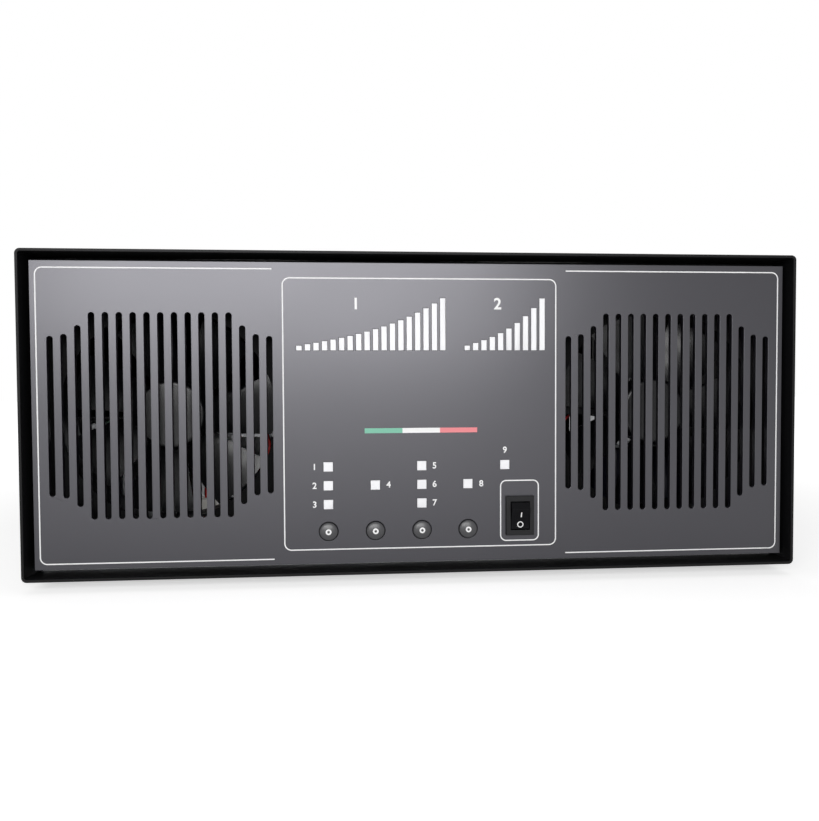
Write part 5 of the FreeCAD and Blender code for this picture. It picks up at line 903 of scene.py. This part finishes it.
class AMPLIFIER_OT_power_supply(AmplifierOperator, Operator):
    """Dress the power supply board and what stands on it"""

    bl_idname = "amplifier.power_supply"
    bl_label = "Power supply"

    choke_bore, choke_wire, choke_turns = 0.40, 0.8, 18
    core, winding_gap, winding_inset = (8.0, 4.0, 22.0), 0.5, 4.0
    transistor = (5.0, 15.6, 20.0)
    crimp = ((1, 0), (0.3, 0.3), (0, 1), (0, 2), (0.5, 2.6), (0, 3.2))
    box_capacitor, box_gap, box_shift = (8.0, 18.0, 14.0), 7.0, -6.0

    def execute(self, context):
        dress("supply_board", "green solder mask")
        self.cans()
        self.transformer()
        add_wound_rings("supply_choke", NO_TURN, self.choke_bore, self.choke_wire * MM,
                        self.choke_turns)
        dress("supply_coolers", "drawn aluminium", 0.2 * MM)
        self.switches()
        self.line_parts()
        return {"FINISHED"}

    def line_parts(self):
        """Box capacitors beside the choke, and the controller behind the cans."""
        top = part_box("supply_board")[1].z
        low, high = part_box("supply_choke")
        size, boxes = mm(*self.box_capacitor), bmesh.new()
        away = size[0] / 2 + self.box_gap * MM
        for x in (low.x - away, high.x + away):
            add_block(boxes, (x, (low.y + high.y) / 2 + self.box_shift * MM, top + size[2] / 2),
                      size, bevel=0.6 * MM)
        keep_shape("supply_box_capacitors", boxes, "amber tape")
        gap = (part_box("supply_capacitors")[1].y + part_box("supply_transformer")[0].y) / 2
        add_chips("supply_chip", [Matrix.Translation(midpoint(low, high, y=gap, z=top))])

    def cans(self):
        """Capacitor cans: a crimped sleeve, and a metal top with a cross pressed in."""
        node, sleeves, tops = "supply_capacitors", bmesh.new(), bmesh.new()
        for low, high in solids(node):
            radius, length = (high.x - low.x) / 2, high.z - low.z
            shoulder, lip, recess = 1.6 * MM, 0.84 * radius, 0.5 * MM
            foot = midpoint(low, high, z=low.z)
            below = [(radius - inward * shoulder, up * shoulder) for inward, up in self.crimp]
            above = [(radius - inward * shoulder, length - down * shoulder)
                     for inward, down in reversed(self.crimp[:3])]
            add_spun(sleeves, [(0, 0), *below, *above, (lip, length), (lip, length - recess),
                               (0, length - recess)], foot)
            self.can_top(tops, foot + Vector((0, 0, length - recess)), lip)
        keep_shape("capacitor_sleeves", sleeves, "capacitor sleeve", node=node)
        keep_shape("capacitor_tops", tops, "drawn aluminium", node=node)

    def can_top(self, bm, at, radius):
        """Four raised quarters, which leave a cross-shaped vent between them."""
        groove, rise, inset = mm(0.7, 0.3, 0.4)
        for step in range(4):
            quarter = bmesh.new()
            bmesh.ops.create_circle(quarter, cap_ends=True, segments=36, radius=radius - inset)
            cut(quarter, (groove / 2, 0, 0), (1, 0, 0), clear_inner=True)
            cut(quarter, (0, groove / 2, 0), (0, 1, 0), clear_inner=True)
            turn = Matrix.Rotation(step * math.pi / 2, 4, "Z")
            raise_print(quarter, Matrix.Translation(at) @ turn, rise)
            add_copy(bm, quarter)

    def transformer(self):
        """A ferrite core round a taped winding, on a moulded base."""
        node = "supply_transformer"
        low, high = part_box(node)
        centre, size = midpoint(low, high), high - low
        limb, base, depth = mm(*self.core)
        core, winding, foot = bmesh.new(), bmesh.new(), bmesh.new()
        height = size.z - base
        centre.z = high.z - height / 2
        for side in (-1, 1):
            across = Vector((side * (size.x - limb) / 2, 0, 0))
            up = Vector((0, 0, side * (height - limb) / 2))
            add_block(core, centre + across, (limb, depth, height), bevel=0.5 * MM)
            add_block(core, centre + up, (size.x - 2 * limb, depth, limb))
        clear = 2 * (limb + self.winding_gap * MM)
        add_block(winding, centre, (size.x - clear, size.y - self.winding_inset * MM,
                                    height - clear), bevel=3 * MM)
        add_block(foot, midpoint(low, high, z=low.z + base / 2), (size.x, size.y, base),
                  bevel=0.6 * MM)
        keep_shape("transformer_core", core, "ferrite", node=node)
        keep_shape("transformer_winding", winding, "amber tape", node=node)
        keep_shape("transformer_base", foot, "dull black plastic", node=node)

    def switches(self):
        """Power transistors against the inner faces of the coolers."""
        thick, width, height = mm(*self.transistor)
        floor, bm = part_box("supply_board")[1].z, bmesh.new()
        for index, (low, high) in enumerate(solids("supply_coolers")):
            x = low.x - thick / 2 if index else high.x + thick / 2
            for share in (0.2, 0.45, 0.7):
                add_block(bm, (x, low.y + share * (high.y - low.y), floor + 0.75 * height),
                          (thick, width, height), bevel=0.5 * MM)
        keep_shape("supply_transistors", bm, "dull black plastic")


class AMPLIFIER_OT_rear(AmplifierOperator, Operator):
    """Dress the rear panel and every connector on it"""

    bl_idname = "amplifier.rear"
    bl_label = "Rear panel"

    barrel_radius, barrel_thread, barrel_pitch = mm(7.94, 9.0, 1.0)
    stud_start, stud_depth, stud_pitch = mm(1.5, 0.1, 0.8)

    def execute(self, context):
        dress("rear_panel", "fine-textured case paint", sizes().soft_edge, slot="chassis_black")
        dress("rf_sockets", "nickel plate", 0.1 * MM)
        dress("rf_insulators", "white plastic")
        dress("rf_contacts", "brass")
        dress("phono_jacks", "nickel plate", 0.1 * MM)
        dress("jack_insulators", "dull black plastic", slot="insulator_black")
        dress("mains_inlet", "black plastic", 0.3 * MM)
        dress("inlet_contacts", "nickel plate", 0.2 * MM, slot="contact_brass")
        dress("fuse_holder", "black plastic", 0.3 * MM)
        dress("earth_stud", "zinc-plated steel")
        dress("earth_nuts", "zinc-plated steel", 0.3 * MM)
        dress_screws("rear_screws", "zinc-plated steel", 1.6 * MM, lambda at: AIM_BACK)
        self.threads()
        return {"FINISHED"}

    def threads(self):
        """Fine threads on the coaxial sockets' barrels and on the earth stud."""
        barrels, stud = bmesh.new(), bmesh.new()
        for low, high in solids("rf_sockets"):
            add_thread(barrels, midpoint(low, high, y=high.y - self.barrel_thread),
                       self.barrel_radius, self.barrel_pitch, self.barrel_thread)
        keep_shape("socket_threads", barrels, "nickel plate")
        low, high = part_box("earth_stud")
        start = midpoint(low, high, y=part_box("earth_nuts")[1].y + self.stud_start)
        add_thread(stud, start, (high.x - low.x) / 2 - self.stud_depth, self.stud_pitch,
                   high.y - start.y - self.stud_pitch)
        keep_shape("stud_thread", stud, "zinc-plated steel")


class AMPLIFIER_OT_stage(AmplifierOperator, Operator):
    """Set up the floor, the light and the camera"""

    bl_idname = "amplifier.stage"
    bl_label = "Floor, light and camera"

    eye, eye_turn = (-0.0371, -0.5611, 0.1052), (88.212, 0.285, -4.505)
    lens = 31.868
    floor_reach, floor_fade = 6.0, dict(From_Min=0.3, To_Min=0.55)
    lamps = (("key light", (-0.18, -1.06, 0.34), (-0.04, -0.17, 0.12), (0.92, 0.34), 8.3),
             ("top light", (0.1, 0.1, 1.5), (0.0, 0.0, 0.0), (1.4, 1.4), 4.0))
    soft_light = 0.17

    def execute(self, context):
        self.floor()
        self.world()
        for lamp in self.lamps:
            self.softbox(*lamp)
        self.camera()
        context.scene.view_settings.view_transform = "Standard"
        return {"FINISHED"}

    def floor(self):
        bm = bmesh.new()
        bmesh.ops.create_grid(bm, x_segments=1, y_segments=1, size=self.floor_reach)
        mesh = bpy.data.meshes.new("floor")
        bm.to_mesh(mesh)
        bm.free()
        mesh.materials.append(self.floor_paint())
        put_in_scene("floor", mesh)

    def floor_paint(self):
        """Matt and pale; brighter to the eye further off, so that it meets the backdrop."""
        paint = finish("pale floor")
        tree = paint.node_tree
        place = add_node(tree, "TexCoord")
        reach = add_node(tree, "VectorMath", "LENGTH")
        fade = add_node(tree, "MapRange", **self.floor_fade)
        lift = add_node(tree, "Math", "MULTIPLY")
        shader = fill(tree.nodes["Principled BSDF"], Emission_Color=(1, 1, 1, 1))
        join(place, "Object", reach, 0)
        join(reach, "Value", fade, "Value")
        join(*self.seen_rays(tree), lift, 0)
        join(fade, "Result", lift, 1)
        join(lift, "Value", shader, "Emission Strength")
        return paint

    def seen_rays(self, tree):
        """A node and its output that is 1 for what the eye, a mirror or glass looks at."""
        rays = add_node(tree, "LightPath")
        seen = rays, "Is Camera Ray"
        for other in ("Is Glossy Ray", "Is Transmission Ray"):
            either = add_node(tree, "Math", "MAXIMUM")
            join(*seen, either, 0)
            join(rays, other, either, 1)
            seen = either, "Value"
        return seen

    def world(self):
        """Soft light all round; the eye, mirrors and glass see plain white."""
        world = bpy.data.worlds.new("studio")
        world.use_nodes = True
        bpy.context.scene.world = world
        tree = world.node_tree
        background = fill(tree.nodes["Background"], Color=(1, 1, 1, 1))
        level = add_node(tree, "MapRange", To_Min=self.soft_light)
        join(*self.seen_rays(tree), level, "Value")
        join(level, "Result", background, "Strength")

    def softbox(self, name, at, towards, size, power):
        lamp = set_up(bpy.data.lights.new(name, "AREA"), shape="RECTANGLE", size=size[0],
                      size_y=size[1], energy=power)
        turn = (Vector(towards) - Vector(at)).to_track_quat("-Z", "Y").to_euler()
        set_up(put_in_scene(name, lamp), location=at, rotation_euler=turn,
                        visible_camera=False)

    def camera(self):
        data = set_up(bpy.data.cameras.new("camera"), lens=self.lens, clip_start=0.01)
        turn = [math.radians(angle) for angle in self.eye_turn]
        bpy.context.scene.camera = set_up(put_in_scene("camera", data), location=self.eye,
                                          rotation_euler=turn)


# In the order in which they stand above, and run.
OPERATORS = tuple(AmplifierOperator.__subclasses__())


class AMPLIFIER_PT_looks(Panel):
    """Lists the operators and what they can be told"""

    bl_idname = "AMPLIFIER_PT_looks"
    bl_label = "Amplifier"
    bl_space_type = "VIEW_3D"
    bl_region_type = "UI"
    bl_category = "Amplifier"

    def draw(self, context):
        layout = self.layout
        for group in (context.scene.amplifier_colours, context.scene.amplifier_sizes):
            for name in group.__annotations__:
                layout.prop(group, name)
        for operator in OPERATORS:
            layout.operator(operator.bl_idname)


CLASSES = (AmplifierColours, AmplifierSizes, *OPERATORS, AMPLIFIER_PT_looks)


def register():
    for made in CLASSES:
        bpy.utils.register_class(made)
    bpy.types.Scene.amplifier_colours = PointerProperty(type=AmplifierColours)
    bpy.types.Scene.amplifier_sizes = PointerProperty(type=AmplifierSizes)


def unregister():
    del bpy.types.Scene.amplifier_sizes
    del bpy.types.Scene.amplifier_colours
    for made in reversed(CLASSES):
        bpy.utils.unregister_class(made)


def main():
    register()
    for operator in OPERATORS:
        getattr(bpy.ops.amplifier, operator.bl_idname.split(".")[1])()


if __name__ == "__main__":
    main()
